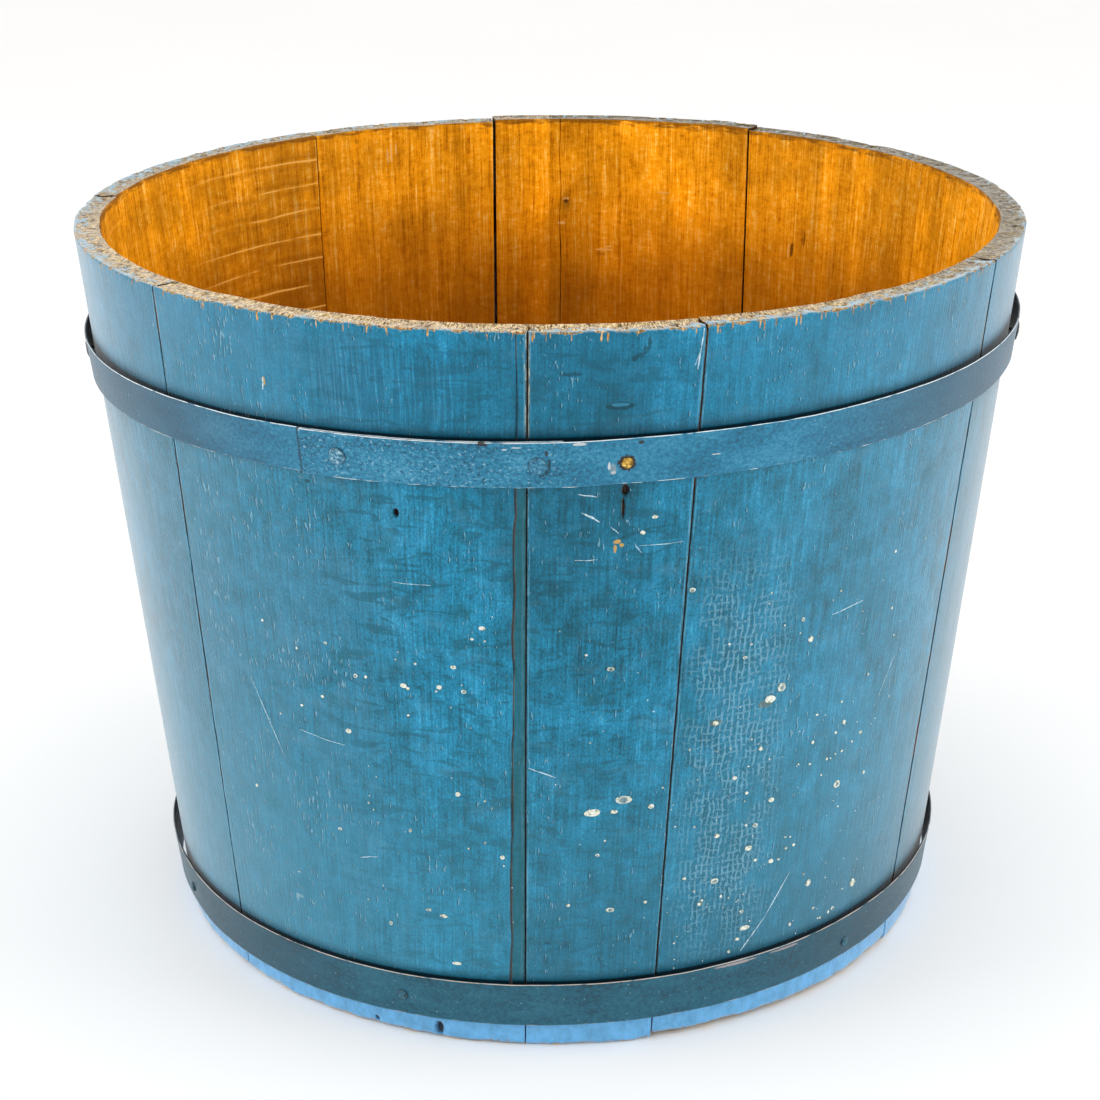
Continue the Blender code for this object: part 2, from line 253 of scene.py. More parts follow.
class Shader:
    """A material and its node tree."""

    def __init__(self, name):
        self.material = bpy.data.materials.new(name)
        self.material.use_nodes = True
        self.tree = self.material.node_tree
        self.surface = self.tree.nodes["Principled BSDF"]

    def made(self, kind, output, inputs, **settings):
        """One output of a new node, its inputs plugged with values or set to constants."""
        node = self.tree.nodes.new("ShaderNode" + kind)
        for key, setting in settings.items():
            setattr(node, key, setting)
        for key, value in inputs.items():
            self.plug(node.inputs[key], value)
        return Value(self, node.outputs[output])

    def plug(self, socket, value):
        if isinstance(value, Value):
            self.tree.links.new(value.socket, socket)
        elif socket.type == "RGBA":
            socket.default_value = (*value, 1.0)
        else:
            socket.default_value = value

    def number(self, name):
        return self.made("Attribute", "Fac", {}, attribute_name=name)

    def vector(self, name):
        return self.made("Attribute", "Vector", {}, attribute_name=name)

    def object_place(self):
        """A point's place in the object's own frame, which is the row's frame."""
        return self.made("TexCoord", "Object", {})

    def part(self, vector, axis):
        return self.made("SeparateXYZ", axis, {0: vector})

    def place(self):
        """A point's azimuth in degrees, from -180 to 180, its height and its azimuth's sine."""
        point = self.object_place()
        turn = self.part(point, "X").math("ARCTAN2", self.part(point, "Y") * -1.0)
        return turn.math("DEGREES"), self.part(point, "Z"), turn.math("SINE")

    def mix(self, share, first, second):
        inputs = {"Factor": share, 6: first, 7: second}
        return self.made("Mix", 2, inputs, data_type="RGBA")

    def blend_numbers(self, share, first, second):
        inputs = {"Factor": share, 2: first, 3: second}
        return self.made("Mix", 0, inputs, data_type="FLOAT")

    def brighten(self, colour, factor):
        return self.made("HueSaturation", "Color", {"Color": colour, "Value": factor})

    def finish(self, colour, roughness, normal, **constants):
        self.plug(self.surface.inputs["Base Color"], colour)
        self.plug(self.surface.inputs["Roughness"], roughness)
        self.plug(self.surface.inputs["Normal"], normal)
        for name, value in constants.items():
            self.surface.inputs[name.replace("_", " ")].default_value = value
        return self.material


# --- wood and paint -----------------------------------------------------------------

# Chips, smears and knots, and a few painted shadows: azimuth, height, half width and half
# height in millimetres, how strongly they show, and their colour.
Spot = namedtuple("Spot", "azimuth height across along share colour")
GOLD = (0.550, 0.330, 0.080)
DARK_TEAL = (0.001, 0.035, 0.050)
RUST = (0.022, 0.009, 0.004)
PAINT_SPOTS = (
    Spot(7.1, 0.2240, 1.5, 0.9, 0.90, GOLD),
    Spot(6.9, 0.2212, 0.6, 1.5, 0.90, GOLD),
    Spot(7.6, 0.2225, 0.8, 0.8, 0.90, GOLD),
    Spot(-32.0, 0.2775, 0.7, 1.7, 0.95, GOLD),
    Spot(2.1, 0.2885, 3.6, 0.8, 0.60, DARK_TEAL),
    Spot(9.95, 0.2992, 0.7, 2.4, 0.65, DARK_TEAL),
    Spot(9.6, 0.2968, 1.1, 1.6, 0.60, DARK_TEAL),
    Spot(9.1, 0.2950, 1.7, 1.1, 0.60, DARK_TEAL),
    Spot(8.5, 0.2938, 1.1, 1.2, 0.65, DARK_TEAL),
    Spot(7.1, 0.2763, 5.0, 1.7, 0.70, DARK_TEAL),
    Spot(7.1, 0.2768, 3.4, 0.7, 0.70, (0.030, 0.230, 0.370)),
    Spot(-36.3, 0.0530, 2.0, 0.9, 0.40, (0.300, 0.450, 0.520)),
    Spot(-36.8, 0.0520, 0.8, 1.8, 0.40, (0.300, 0.450, 0.520)),
    Spot(-27.6, 0.2410, 1.2, 0.7, 0.70, DARK_TEAL),
    # Two brown spots round splashes: the splashes' painted shadows.
    Spot(19.9, 0.1440, 2.4, 1.5, 0.50, (0.160, 0.150, 0.070)),
    Spot(26.4, 0.1482, 3.4, 1.6, 0.50, (0.160, 0.150, 0.070)),
)
INSIDE_SPOTS = (
    Spot(178.1, 0.2535, 2.0, 0.9, 0.60, (0.950, 0.560, 0.180)),
    Spot(171.3, 0.2405, 4.5, 0.5, 0.65, (0.950, 0.560, 0.180)),
    Spot(170.6, 0.2420, 2.5, 0.4, 0.60, (0.950, 0.560, 0.180)),
    Spot(171.9, 0.2385, 3.0, 1.0, 0.40, (0.250, 0.080, 0.004)),
    Spot(177.4, 0.2655, 1.8, 0.7, 0.60, (0.950, 0.560, 0.180)),
    Spot(139.6, 0.2500, 1.0, 3.4, 0.80, (0.110, 0.034, 0.002)),
    Spot(140.2, 0.2490, 0.5, 4.2, 0.60, (0.950, 0.560, 0.180)),
    Spot(162.0, 0.2700, 3.5, 0.5, 0.45, (0.950, 0.560, 0.180)),
    Spot(-155.2, 0.2915, 0.6, 5.0, 0.60, (0.950, 0.580, 0.220)),
    Spot(-154.6, 0.2900, 0.5, 4.0, 0.60, (0.950, 0.580, 0.220)),
    Spot(-156.0, 0.2935, 0.5, 3.0, 0.50, (0.950, 0.580, 0.220)),
)
TOP_HOOP_SPOTS = (
    Spot(6.4, 0.2532, 1.2, 1.9, 0.65, (0.240, 0.310, 0.330)),
    Spot(6.0, 0.2545, 0.5, 1.6, 0.90, (0.560, 0.600, 0.600)),
    Spot(6.5, 0.2518, 0.9, 0.7, 0.80, (0.480, 0.520, 0.520)),
    Spot(7.9, 0.2553, 3.2, 3.0, 0.95, RUST),
    # Three dark spots on the right of the inner rivet: its painted shadow.
    Spot(-1.1, 0.2516, 0.8, 0.5, 0.80, DARK_TEAL),
    Spot(-0.5, 0.2530, 0.7, 1.0, 0.85, DARK_TEAL),
    Spot(-0.2, 0.2556, 0.5, 2.4, 0.90, DARK_TEAL),
    Spot(-0.5, 0.2602, 0.6, 0.9, 0.85, RUST),
    Spot(-7.1, 0.2632, 1.8, 0.7, 0.90, RUST),
    Spot(2.9, 0.2635, 2.2, 0.6, 0.85, (0.560, 0.600, 0.600)),
    Spot(9.3, 0.2630, 1.2, 0.7, 0.85, RUST),
    Spot(-3.6, 0.2622, 1.6, 0.3, 0.80, (0.560, 0.620, 0.640)),
    Spot(-4.8, 0.2614, 1.0, 0.3, 0.80, (0.560, 0.620, 0.640)),
    Spot(17.5, 0.2560, 2.0, 0.25, 0.70, (0.560, 0.620, 0.640)),
)
BOTTOM_HOOP_SPOTS = (
    Spot(25.0, 0.0310, 9.0, 0.7, 0.75, (0.420, 0.330, 0.300)),
    Spot(33.0, 0.0312, 7.0, 0.6, 0.65, (0.420, 0.330, 0.300)),
    Spot(-41.0, 0.0300, 6.0, 0.5, 0.55, (0.420, 0.330, 0.300)),
)


def pine_colour(grain):
    """Golden pine seen along the grain, and the height of its relief."""
    broad = grain.noise((0.012, 0.4, 0.02), 2.0, distortion=0.4)
    streaks = grain.noise((0.0016, 0.07, 0.02), 3.0, 0.6, 3.0, distortion=0.5)
    fine = grain.noise((0.0006, 0.009, 0.02), 2.0, 0.6, 7.0)
    fuzz = grain.noise((0.0034, 0.0026, 0.02), 5.0, 0.75, 11.0)
    cloud = grain.noise((0.03, 0.035, 0.02), 3.0, 0.6, 17.0)
    across_grain = grain.noise((0.007, 0.0011, 0.02), 3.0, 0.65, 13.0)
    value = streaks * 0.32 + fine * 0.26 + fuzz * 0.34 + across_grain * 0.08
    colour = value.colours(
        (0.39, (0.42, 0.135, 0.0)),
        (0.46, (0.72, 0.265, 0.001)),
        (0.54, (0.92, 0.375, 0.006)),
        (0.61, (1.0, 0.6, 0.13)),
    )
    colour = colour.brighten(cloud.step(0.3, 0.7, 0.74, 1.16))
    colour = colour.brighten(broad.step(0.3, 0.7, 0.86, 1.06))
    relief = streaks * 0.6 + fuzz * 0.4
    return colour, relief


def inside_wood_colour(shader, grain, place):
    """The pine of the staves' inner faces, with painted shade that makes it darker and redder further
    down, with tool marks and knots.
    """
    azimuth, height = place[:2]
    pine, relief = pine_colour(grain)
    # Painted shade: the pine darker and redder further down inside the tub, and painted light near the
    # rim.
    deeper_shade = height.step(0.285, 0.22)
    pine = pine.mix(deeper_shade * 0.4, (0.62, 0.15, 0.0))
    pine = pine.brighten(height.step(0.205, 0.285, 0.58, 1.12))
    pine = pine.brighten(shader.number("chatter") * -0.16 + 1.0)
    # Painted highlight: two light stripes on the back of the inner wall.
    back_wall_highlight = azimuth.band(163.0, 5.0, 8.0) * 0.42 + azimuth.band(-177.5, 1.0, 2.5) * 0.32
    pine = pine.brighten(back_wall_highlight + 1.0)
    under_rim = grain.noise((0.01, 0.002, 0.02), 3.0, 0.6, 42.0)
    under_rim = (height * 100.0 + under_rim).step(30.6, 30.9)
    pine = pine.mix(under_rim * 0.75, (0.12, 0.04, 0.004))
    ripple = grain.noise((0.05, 0.012, 0.02), 2.0, 0.4, 43.0)
    phase = shader.number("chatter_phase") + ripple * 0.32
    across_line = phase.math("PINGPONG", 0.5)
    patches = grain.noise((0.03, 0.009, 0.02), 2.0, 0.5, 41.0)
    chatter = shader.number("chatter") * patches.step(0.38, 0.5)
    # Painted highlight along each tool-mark ridge, and painted shade just below it.
    lit = across_line.step(0.048, 0.012) * chatter
    ridge_shade = across_line.step(0.05, 0.16) * across_line.step(0.4, 0.16)
    pine = pine.mix(ridge_shade * chatter * 0.35, (0.3, 0.095, 0.001))
    pine = pine.mix(lit * 0.75, (1.0, 0.58, 0.13))
    stain = shader.number("stain")
    pine = pine.mix(stain * 0.85, (0.1, 0.035, 0.003))
    ragged = grain.noise((0.0016, 0.0022, 0.02), 3.0, 0.6, 44.0)
    return pine.spots(place, ragged, INSIDE_SPOTS), relief


def inside_material():
    """The bare pine inside the tub."""
    shader = Shader("bare_pine")
    grain = shader.vector("grain")
    pine, relief = inside_wood_colour(shader, grain, shader.place())
    # Painted shade: near-black on the joint faces and in cracks and holes.
    pine = pine.mix(shader.number("hollow"), (0.03, 0.01, 0.002))
    rough = relief.step(0.3, 0.7, 0.5, 0.66)
    return shader.finish(pine, rough, relief.bump(0.0004), IOR=1.15)


def end_grain_colour(grain, azimuth):
    """Weathered end grain: tan at the left, greyer towards the right."""
    pores = grain.noise((0.0006, 0.004, 0.0022), 3.0, 0.7, 2.0)
    rings = grain.noise((0.003, 0.01, 0.0034), 5.0, 0.75, 5.0, distortion=1.2)
    value = pores * 0.6 + rings * 0.4
    tan = value.colours(
        (0.41, (0.03, 0.017, 0.005)),
        (0.46, (0.24, 0.14, 0.045)),
        (0.51, (0.56, 0.37, 0.155)),
        (0.57, (0.88, 0.7, 0.4)),
    )
    grey = value.colours(
        (0.41, (0.012, 0.009, 0.005)),
        (0.47, (0.105, 0.07, 0.024)),
        (0.53, (0.28, 0.195, 0.07)),
        (0.6, (0.52, 0.41, 0.2)),
    )
    wood = tan.mix(azimuth.step(0.0, 80.0), grey)
    behind = abs(azimuth).step(55.0, 110.0, 1.0, 0.6)
    return wood.brighten(behind), value


def near_hoops(height, sine):
    """How far the staves lie in the shade of each hoop: soft above it and deep behind it."""
    shades = []
    for hoop in HOOPS:
        half = hoop.width / 2
        level = sine * hoop.tilt + hoop.middle
        above = height - level
        over = above.step(half - 0.0005, half)
        soft = over * above.step(half + 0.006, half + 0.0005)
        shades.append((soft, above.band(0.0002, half, 0.0008)))
    (soft, deep), (other_soft, other_deep) = shades
    return soft.math("MAXIMUM", other_soft), deep.math("MAXIMUM", other_deep)


def woven_wear(shader, grain, azimuth, height):
    """Paint worn in columns and rows, as woven cloth would wear it, on one part of a stave."""
    wobble = grain.noise((0.012, 0.012, 0.02), 2.0, 0.6, 71.0)
    column = shader.part(grain, "X") * (1 / 0.0025) + wobble * 2.2
    row = shader.part(grain, "Y") * (1 / 0.003) + wobble * 2.2
    upright_worn = grain.noise((0.0014, 0.0026, 0.02), 3.0, 0.7, 73.0)
    level_worn = grain.noise((0.0022, 0.0014, 0.02), 3.0, 0.7, 75.0)
    upright = column.math("PINGPONG", 0.5).step(0.24, 0.1)
    level = row.math("PINGPONG", 0.5).step(0.2, 0.09) * 0.8
    upright = upright * upright_worn.step(0.43, 0.5)
    level = level * level_worn.step(0.47, 0.54)
    patches = grain.noise((0.012, 0.016, 0.02), 3.0, 0.6, 77.0)
    zone = azimuth.band(22.5, 3.0, 6.0) * height.band(0.125, 0.055, 0.05)
    zone = zone * patches.step(0.36, 0.52)
    return upright.math("MAXIMUM", level) * zone, zone


def broad_paint_colour(grain, azimuth, height, tone):
    """The blue paint's broad patches and tints, and the noises that its wear follows."""
    cloud = grain.noise((0.03, 0.042, 0.02), 4.0, 0.65, 21.0, distortion=0.8)
    mottle = grain.noise((0.0065, 0.009, 0.02), 5.0, 0.7, 23.0)
    brush = grain.noise((0.001, 0.032, 0.02), 3.0, 0.65, 25.0)
    speck = grain.noise((0.0008, 0.0013, 0.02), 2.0, 0.7, 27.0)
    value = cloud * 0.25 + mottle * 0.25 + brush * 0.25 + speck * 0.25
    colour = value.colours(
        (0.4, (0.0015, 0.058, 0.092)),
        (0.465, (0.003, 0.125, 0.205)),
        (0.535, (0.0075, 0.198, 0.345)),
        (0.605, (0.034, 0.315, 0.525)),
    )
    # Greyer towards the sides and the back: partly weathered paint, partly a painted reflection.
    sides = abs(azimuth + 3.0).step(10.0, 45.0)
    colour = colour.mix(sides * 0.36, (0.065, 0.19, 0.255))
    dull = azimuth.band(-38.0, 12.0, 14.0) * cloud.step(0.35, 0.6)
    colour = colour.mix(dull * 0.4, (0.04, 0.115, 0.155))
    smears = grain.noise((0.018, 0.0045, 0.02), 4.0, 0.6, 29.0, distortion=1.0)
    smeared = smears.step(0.52, 0.62) * azimuth.band(-6.0, 14.0, 14.0)
    colour = colour.mix(smeared * 0.5, (0.001, 0.06, 0.084))
    green = grain.noise((0.014, 0.022, 0.02), 4.0, 0.65, 37.0)
    colour = colour.mix(green.step(0.54, 0.72, 0.0, 0.42), (0.003, 0.095, 0.125))
    haze = grain.noise((0.022, 0.012, 0.02), 4.0, 0.7, 39.0)
    colour = colour.mix(haze.step(0.5, 0.75, 0.0, 0.25), (0.09, 0.235, 0.34))
    colour = colour.brighten(tone * 0.16 + 1.0)
    bluer = height.step(0.245, 0.272)
    colour = colour.mix(bluer * 0.2, (0.006, 0.19, 0.36))
    lower = height.step(0.17, 0.06)
    colour = colour.mix(lower * 0.32, (0.055, 0.265, 0.385))
    # Painted shade: darker near the foot, from the front round to the right.
    foot_shade = height.step(0.11, 0.03) * azimuth.step(-12.0, 2.0)
    colour = colour.brighten(foot_shade * -0.24 + 1.0)
    front = azimuth.band(1.5, 6.0, 6.0) * height.step(0.18, 0.22)
    colour = colour.mix(front * 0.34, (0.001, 0.055, 0.085))
    return colour, mottle, brush, speck


def paint_ticks(shader, colour, grain, azimuth, height):
    """The paint with short upright ticks, each a pale painted highlight with a painted shadow beside it,
    and with woven wear; and where the ticks and the wear lie.
    """
    clusters = grain.noise((0.026, 0.03, 0.02), 3.0, 0.6, 31.0)
    ticks = grain.noise((0.0012, 0.005, 0.02), 2.0, 0.6, 33.0)
    # The same ticks a little aside, for the painted shadow beside each one.
    beside = grain.shifted((0.0005, 0.0002, 0.0)).noise((0.0012, 0.005, 0.02), 2.0, 0.6, 33.0)
    ridged = azimuth.band(-37.0, 8.0, 8.0) * 0.045
    crowded = clusters * 0.42 + ridged
    upright = (ticks + crowded).step(0.895, 0.93)
    shaded = (beside + crowded).step(0.895, 0.93)
    shaded = shaded.math("SUBTRACT", upright, clamp=True)
    colour = colour.mix(shaded * 0.65, (0.001, 0.035, 0.05))
    woven, weave_zone = woven_wear(shader, grain, azimuth, height)
    colour = colour.mix(weave_zone * 0.28, (0.002, 0.085, 0.13))
    # The pale ticks are painted highlight; the woven part is real wear.
    worn = upright.math("MAXIMUM", woven)
    return colour.mix(worn * 0.64, (0.185, 0.43, 0.58)), worn


def paint_colour(shader, grain, place):
    """The blue paint on the staves, and the height of its relief."""
    azimuth, height, sine = place
    edge = shader.number("edge")
    tone = shader.number("tone")
    colour, mottle, brush, speck = broad_paint_colour(grain, azimuth, height, tone)
    colour, worn = paint_ticks(shader, colour, grain, azimuth, height)

    combed = grain.noise((0.0012, 0.024, 0.02), 0.0, 0.5, 45.0, distortion=0.5)
    comb = azimuth.band(-17.0, 6.0, 5.0) * height.band(0.282, 0.01, 0.009) * combed.step(0.6, 0.44)
    colour = colour.mix(comb * 0.48, (0.002, 0.09, 0.165))

    wear = grain.noise((0.001, 0.007, 0.02), 3.0, 0.7, 47.0)
    rubbed = (edge * 0.42 + wear * 0.6).step(0.6, 0.68)
    by_split = azimuth.band(-3.0, 1.6, 0.8) * height.step(0.262, 0.266)
    rub_colour = shader.mix(by_split, (0.12, 0.36, 0.52), (0.56, 0.54, 0.4))
    colour = colour.mix(rubbed * 0.7, rub_colour)
    dirty = (edge * 0.4 + mottle).step(0.74, 0.98)
    colour = colour.mix(dirty * 0.6, (0.003, 0.05, 0.062))
    pale_line = edge.band(0.66, 0.05, 0.07) * brush.step(0.42, 0.56)
    colour = colour.mix(pale_line * 0.45, (0.13, 0.38, 0.54))
    colour = colour.mix(edge.step(0.84, 0.93, 0.0, 0.85), (0.001, 0.014, 0.022))
    ragged = grain.noise((0.0016, 0.0018, 0.02), 3.0, 0.6, 49.0)
    colour = colour.spots(place, ragged, PAINT_SPOTS)
    stain = shader.number("stain")
    colour = colour.mix(stain * 0.65, (0.006, 0.085, 0.095))
    chime = height.step(0.0135, 0.0115)
    chime_blue = shader.brighten((0.135, 0.4, 0.69), mottle.step(0.3, 0.7, 0.8, 1.15))
    colour = colour.mix(chime, chime_blue)
    soft, deep = near_hoops(height, sine)
    colour = colour.mix(soft * 0.6, (0.001, 0.045, 0.08))
    colour = colour.mix(deep * 0.92, (0.001, 0.008, 0.014))
    relief = brush * 0.42 + speck * 0.22 + worn * 0.26 + comb * -0.3
    return colour, relief


def stave_material():
    """Painted pine: paint outside, bare wood inside, and worn where the two meet."""
    shader = Shader("painted_stave")
    grain = shader.vector("grain")
    place = shader.place()
    end = shader.number("end")
    pine, pine_relief = inside_wood_colour(shader, grain, place)
    end_wood, end_relief = end_grain_colour(grain, place[0])
    wood = pine.mix(end, end_wood)
    hollow = shader.number("hollow")

    paint, paint_relief = paint_colour(shader, grain, place)
    chips = grain.noise((0.0038, 0.006, 0.003), 4.0, 0.6, 51.0)
    splits = grain.noise((0.0011, 0.009, 0.003), 1.0, 0.5, 53.0)
    cover = shader.number("paint") + (chips - 0.5) * 1.5 + splits.step(0.62, 0.7, 0.0, -0.7)
    covered = cover.step(0.48, 0.505)
    on_end = end.step(0.65, 0.95)
    faded = cover.step(0.95, 0.55)
    paint = paint.mix(faded * on_end * 0.8, (0.36, 0.47, 0.52))
    brink = cover.band(0.53, 0.015, 0.03)
    paint = paint.mix(brink * 0.45, (0.42, 0.5, 0.47))
    undercut = cover.band(0.462, 0.01, 0.022)
    wood = wood.mix(undercut * 0.75, (0.045, 0.025, 0.01))
    colour = wood.mix(covered, paint)
    # Painted shade: near-black in cracks and holes, by how deep they are.
    colour = colour.mix(hollow, (0.022, 0.01, 0.005))

    relief = shader.blend_numbers(end, pine_relief, end_relief)
    relief = shader.blend_numbers(covered, relief, paint_relief + 0.5)
    rough = shader.blend_numbers(covered, 0.62, paint_relief.step(0.35, 0.65, 0.3, 0.46))
    sheen = {"Sheen_Weight": 0.72, "Sheen_Roughness": 0.31}
    return shader.finish(colour, rough, relief.bump(0.0005), IOR=1.30, **sheen)


# --- staves -------------------------------------------------------------------------

# A crack along a stave: its face, its share of the way across at the rim and at the foot,
# where it starts and stops, its width and its depth.
Crack = namedtuple("Crack", "face rim foot low high width depth")
CRACKS = {
    "stave_01": Crack("outer", 0.978, 0.957, 0.010, 0.3050, 0.0010, 0.0020),
    "stave_07": Crack("inner", 0.748, 0.748, 0.040, 0.3050, 0.0005, 0.0016),
}

# A hole or dent in a face: its azimuth, its height, half its width, half its height and
# its depth. Dark ones are deep enough to show bare wood, in near-black painted shade.
Hollow = namedtuple("Hollow", "face azimuth height across along depth dark")
HOLLOWS = {
    "stave_01": (
        Hollow("outer", -17.1, 0.2330, 0.0011, 0.0017, 0.0025, 1.0),
        Hollow("outer", -23.7, 0.2390, 0.0026, 0.0030, 0.0005, 0.0),
        Hollow("outer", -15.9, 0.0046, 0.0018, 0.0030, 0.0030, 0.9),
        Hollow("outer", -25.3, 0.0034, 0.0010, 0.0010, 0.0020, 1.0),
    ),
    "stave_02": (
        Hollow("outer", 7.9, 0.2440, 0.0014, 0.0022, 0.0020, 1.0),
        Hollow("outer", 7.7, 0.2370, 0.0006, 0.0045, 0.0014, 1.0),
        Hollow("outer", -1.1, 0.0410, 0.0016, 0.0014, 0.0005, 0.3),
        Hollow("outer", 1.5, 0.0490, 0.0020, 0.0014, 0.0005, 0.2),
        Hollow("outer", -0.8, 0.0500, 0.0012, 0.0010, 0.0005, 0.2),
    ),
    "stave_07": (Hollow("inner", 177.4, 0.2640, 0.0010, 0.0012, 0.0006, 0.7),),
    "stave_06": (Hollow("inner", 137.5, 0.2560, 0.0007, 0.0040, 0.0006, 0.5),),
}

# How painted the rim of each stave still is, and how its face stands: how far its left
# and its right edge lie behind the true circle, in millimetres.
RIM_PAINT = (0.22, 0.42, 0.42, 0.28, 0.22, 0.20, 0.24, 0.30, 0.40, 0.40)
FACE_LEAN = (
    (0.00, 0.15),
    (0.22, 0.00),
    (0.28, 0.05),
    (0.00, 0.20),
    (0.10, 0.05),
    (0.20, 0.00),
    (0.05, 0.15),
    (0.00, 0.20),
    (0.15, 0.05),
    (0.20, 0.00),
)
TONES = (1.0, 0.4, 0.55, -0.1, 0.2, -0.1, 0.3, -0.2, 0.1, 0.3)  # paint, light to dark

# How deep the tool marks inside a stave are, and how far apart
CHATTERED = {"stave_09": 1.0, "stave_10": 0.25}
CHATTER_STEP = 0.0118

# The stave with a knot in its inner face
KNOTTED = "stave_07"
KNOT_AZIMUTH = 177.4
KNOT_HEIGHT = 0.264

# How finely a stave is divided: across it, along it, across its rim and round its corners,
# and the distances of its first columns from its joints
COLUMN_STEP = 0.0013
ROW_STEP = 0.0045
RIM_COLUMNS = 16
CORNER_POINTS = 7
EDGE_COLUMNS = (0.0, 0.0001, 0.00025, 0.00045, 0.0007, 0.0010, 0.0015)
CRACK_COLUMNS = (-2.5, -1.0, -0.5, -0.25, 0.0, 0.25, 0.5, 1.0, 2.5)

# What the material reads on a joint face: bare wood, mostly in shade
JOINT_FACE = {"end": 0.0, "hollow": 0.90, "edge": 1.0, "tone": 0.0, "stain": 0.6}
JOINT_FACE.update({"chatter": 0.0, "chatter_phase": 0.0})
GRAIN_SHIFT = 0.5  # keeps the grain of one stave apart from the next one's


def stave_sides(node):
    """Straight lines through a CAD stave's four long corners, as azimuth against height.

    They come back in the order outer left, outer right, inner left, inner right.
    """
    points = np.array([vert.co for vert in node.data.vertices])
    middle = math.degrees(math.atan2(points[:, 0].mean(), -points[:, 1].mean()))
    azimuth = middle + away_from(np.degrees(np.arctan2(points[:, 0], -points[:, 1])), middle)
    depth = outer_radius(points[:, 2]) - np.hypot(points[:, 0], points[:, 1])
    lines = []
    for face_depth in (0.0, WALL):
        on_face = np.abs(depth - face_depth) < 0.00005
        heights = points[on_face, 2]
        ends = (heights.min(), heights.max())
        for pick in (np.min, np.max):
            corners = [pick(azimuth[on_face & (np.abs(points[:, 2] - end) < 0.0001)]) for end in ends]
            lines.append(np.polyfit(ends, corners, 1))
    return lines


def column_places(name, width):
    """Shares of the way across a stave at which its columns stand at the rim."""
    near = np.array(EDGE_COLUMNS) / width
    count = max(int((width - 2 * EDGE_COLUMNS[-1]) / COLUMN_STEP), 4)
    places = [*near, *(1 - near), *np.linspace(near[-1], 1 - near[-1], count)]
    crack = CRACKS.get(name)
    if crack:
        places += list(crack.rim + np.array(CRACK_COLUMNS) * crack.width / width)
    return places


def tidy_places(places, closest):
    """The places in order, without any that lies closer than this to the one before."""
    kept = []
    for place in sorted(places):
        if not kept or place - kept[-1] > closest:
            kept.append(place)
    return np.array(kept)


def stave_heights(name, foot, rim):
    """Heights of a stave's rows between its rounded ends, leaving out the head's groove."""
    low = np.linspace(foot + 0.0046, GROOVE_LOW - 0.0010, 12)
    step = CHATTER_STEP / 6 if name in CHATTERED else ROW_STEP
    high = list(np.arange(GROOVE_HIGH + 0.0010, rim - 0.0110, step))
    high += list(np.linspace(rim - 0.0100, rim - 0.0042, 8))
    for hollow in HOLLOWS.get(name, ()):
        rows = hollow.height + np.linspace(-1.2, 1.2, 9) * hollow.along
        if hollow.height > GROOVE_HIGH + 0.01:
            high += list(rows)
    return tidy_places(low, 0.0002), tidy_places(high, 0.0002)


def corner(radius, start, end):
    """Offsets of a rounded corner's points from its centre, for each column's radius."""
    turns = np.radians(np.linspace(start, end, CORNER_POINTS))
    return radius[:, None] * np.cos(turns), radius[:, None] * np.sin(turns)


def stave_section(name, number, foot, rim, across):
    """Depth and height of every point of a stave's section, for each column across it."""
    seed = 100 * number
    columns = len(across)
    low, high = stave_heights(name, foot, rim)
    depth_lines = {"outer": [], "inner": []}
    height_lines = {"outer": [], "inner": []}

    def extend(face, depths, heights):
        shape = (columns, np.shape(heights)[-1])
        depth_lines[face].append(np.broadcast_to(depths, shape))
        height_lines[face].append(np.broadcast_to(heights, shape))

    def waves(size, number_of_seed):
        return noise(size, seed + number_of_seed, across)

    worn_foot = 0.0024 + 0.0009 * waves(0.012, 1) + 0.0006 * waves(0.003, 2)
    chips = waves(0.0045, 3) + 0.6 * waves(0.0016, 4)
    worn_rim = 0.0009 + 0.0004 * waves(0.02, 5) + 0.0017 * ramp(chips, 0.35, 1.1)
    worn_inner = 0.0010 + 0.0003 * waves(0.006, 6) + 0.0003 * waves(0.002, 7)
    uneven_rim = rim - 0.0003 - 0.0003 * waves(0.018, 8)

    out, up = corner(worn_foot, 270, 180)
    extend("outer", worn_foot[:, None] + out, foot + worn_foot[:, None] + up)
    extend("outer", 0.0, low)
    extend("outer", 0.0, np.linspace(GROOVE_LOW, GROOVE_HIGH, 4))
    extend("outer", 0.0, high)
    out, up = corner(worn_rim, 180, 90)
    extend("outer", worn_rim[:, None] + out, uneven_rim[:, None] - worn_rim[:, None] + up)

    small = np.full(columns, 0.0012)
    out, up = corner(small, -90, 0)
    extend("inner", WALL - small[:, None] + out, foot + small[:, None] + up)
    extend("inner", WALL, low)
    groove = (GROOVE_LOW, GROOVE_LOW, GROOVE_HIGH, GROOVE_HIGH)
    extend("inner", (WALL, WALL - GROOVE_DEPTH, WALL - GROOVE_DEPTH, WALL), groove)
    extend("inner", WALL, high)
    out, up = corner(worn_inner, 0, 90)
    extend("inner", WALL - worn_inner[:, None] + out, uneven_rim[:, None] - worn_inner[:, None] + up)
    depths = {face: np.hstack(lines) for face, lines in depth_lines.items()}
    heights = {face: np.hstack(lines) for face, lines in height_lines.items()}
    return depths, heights


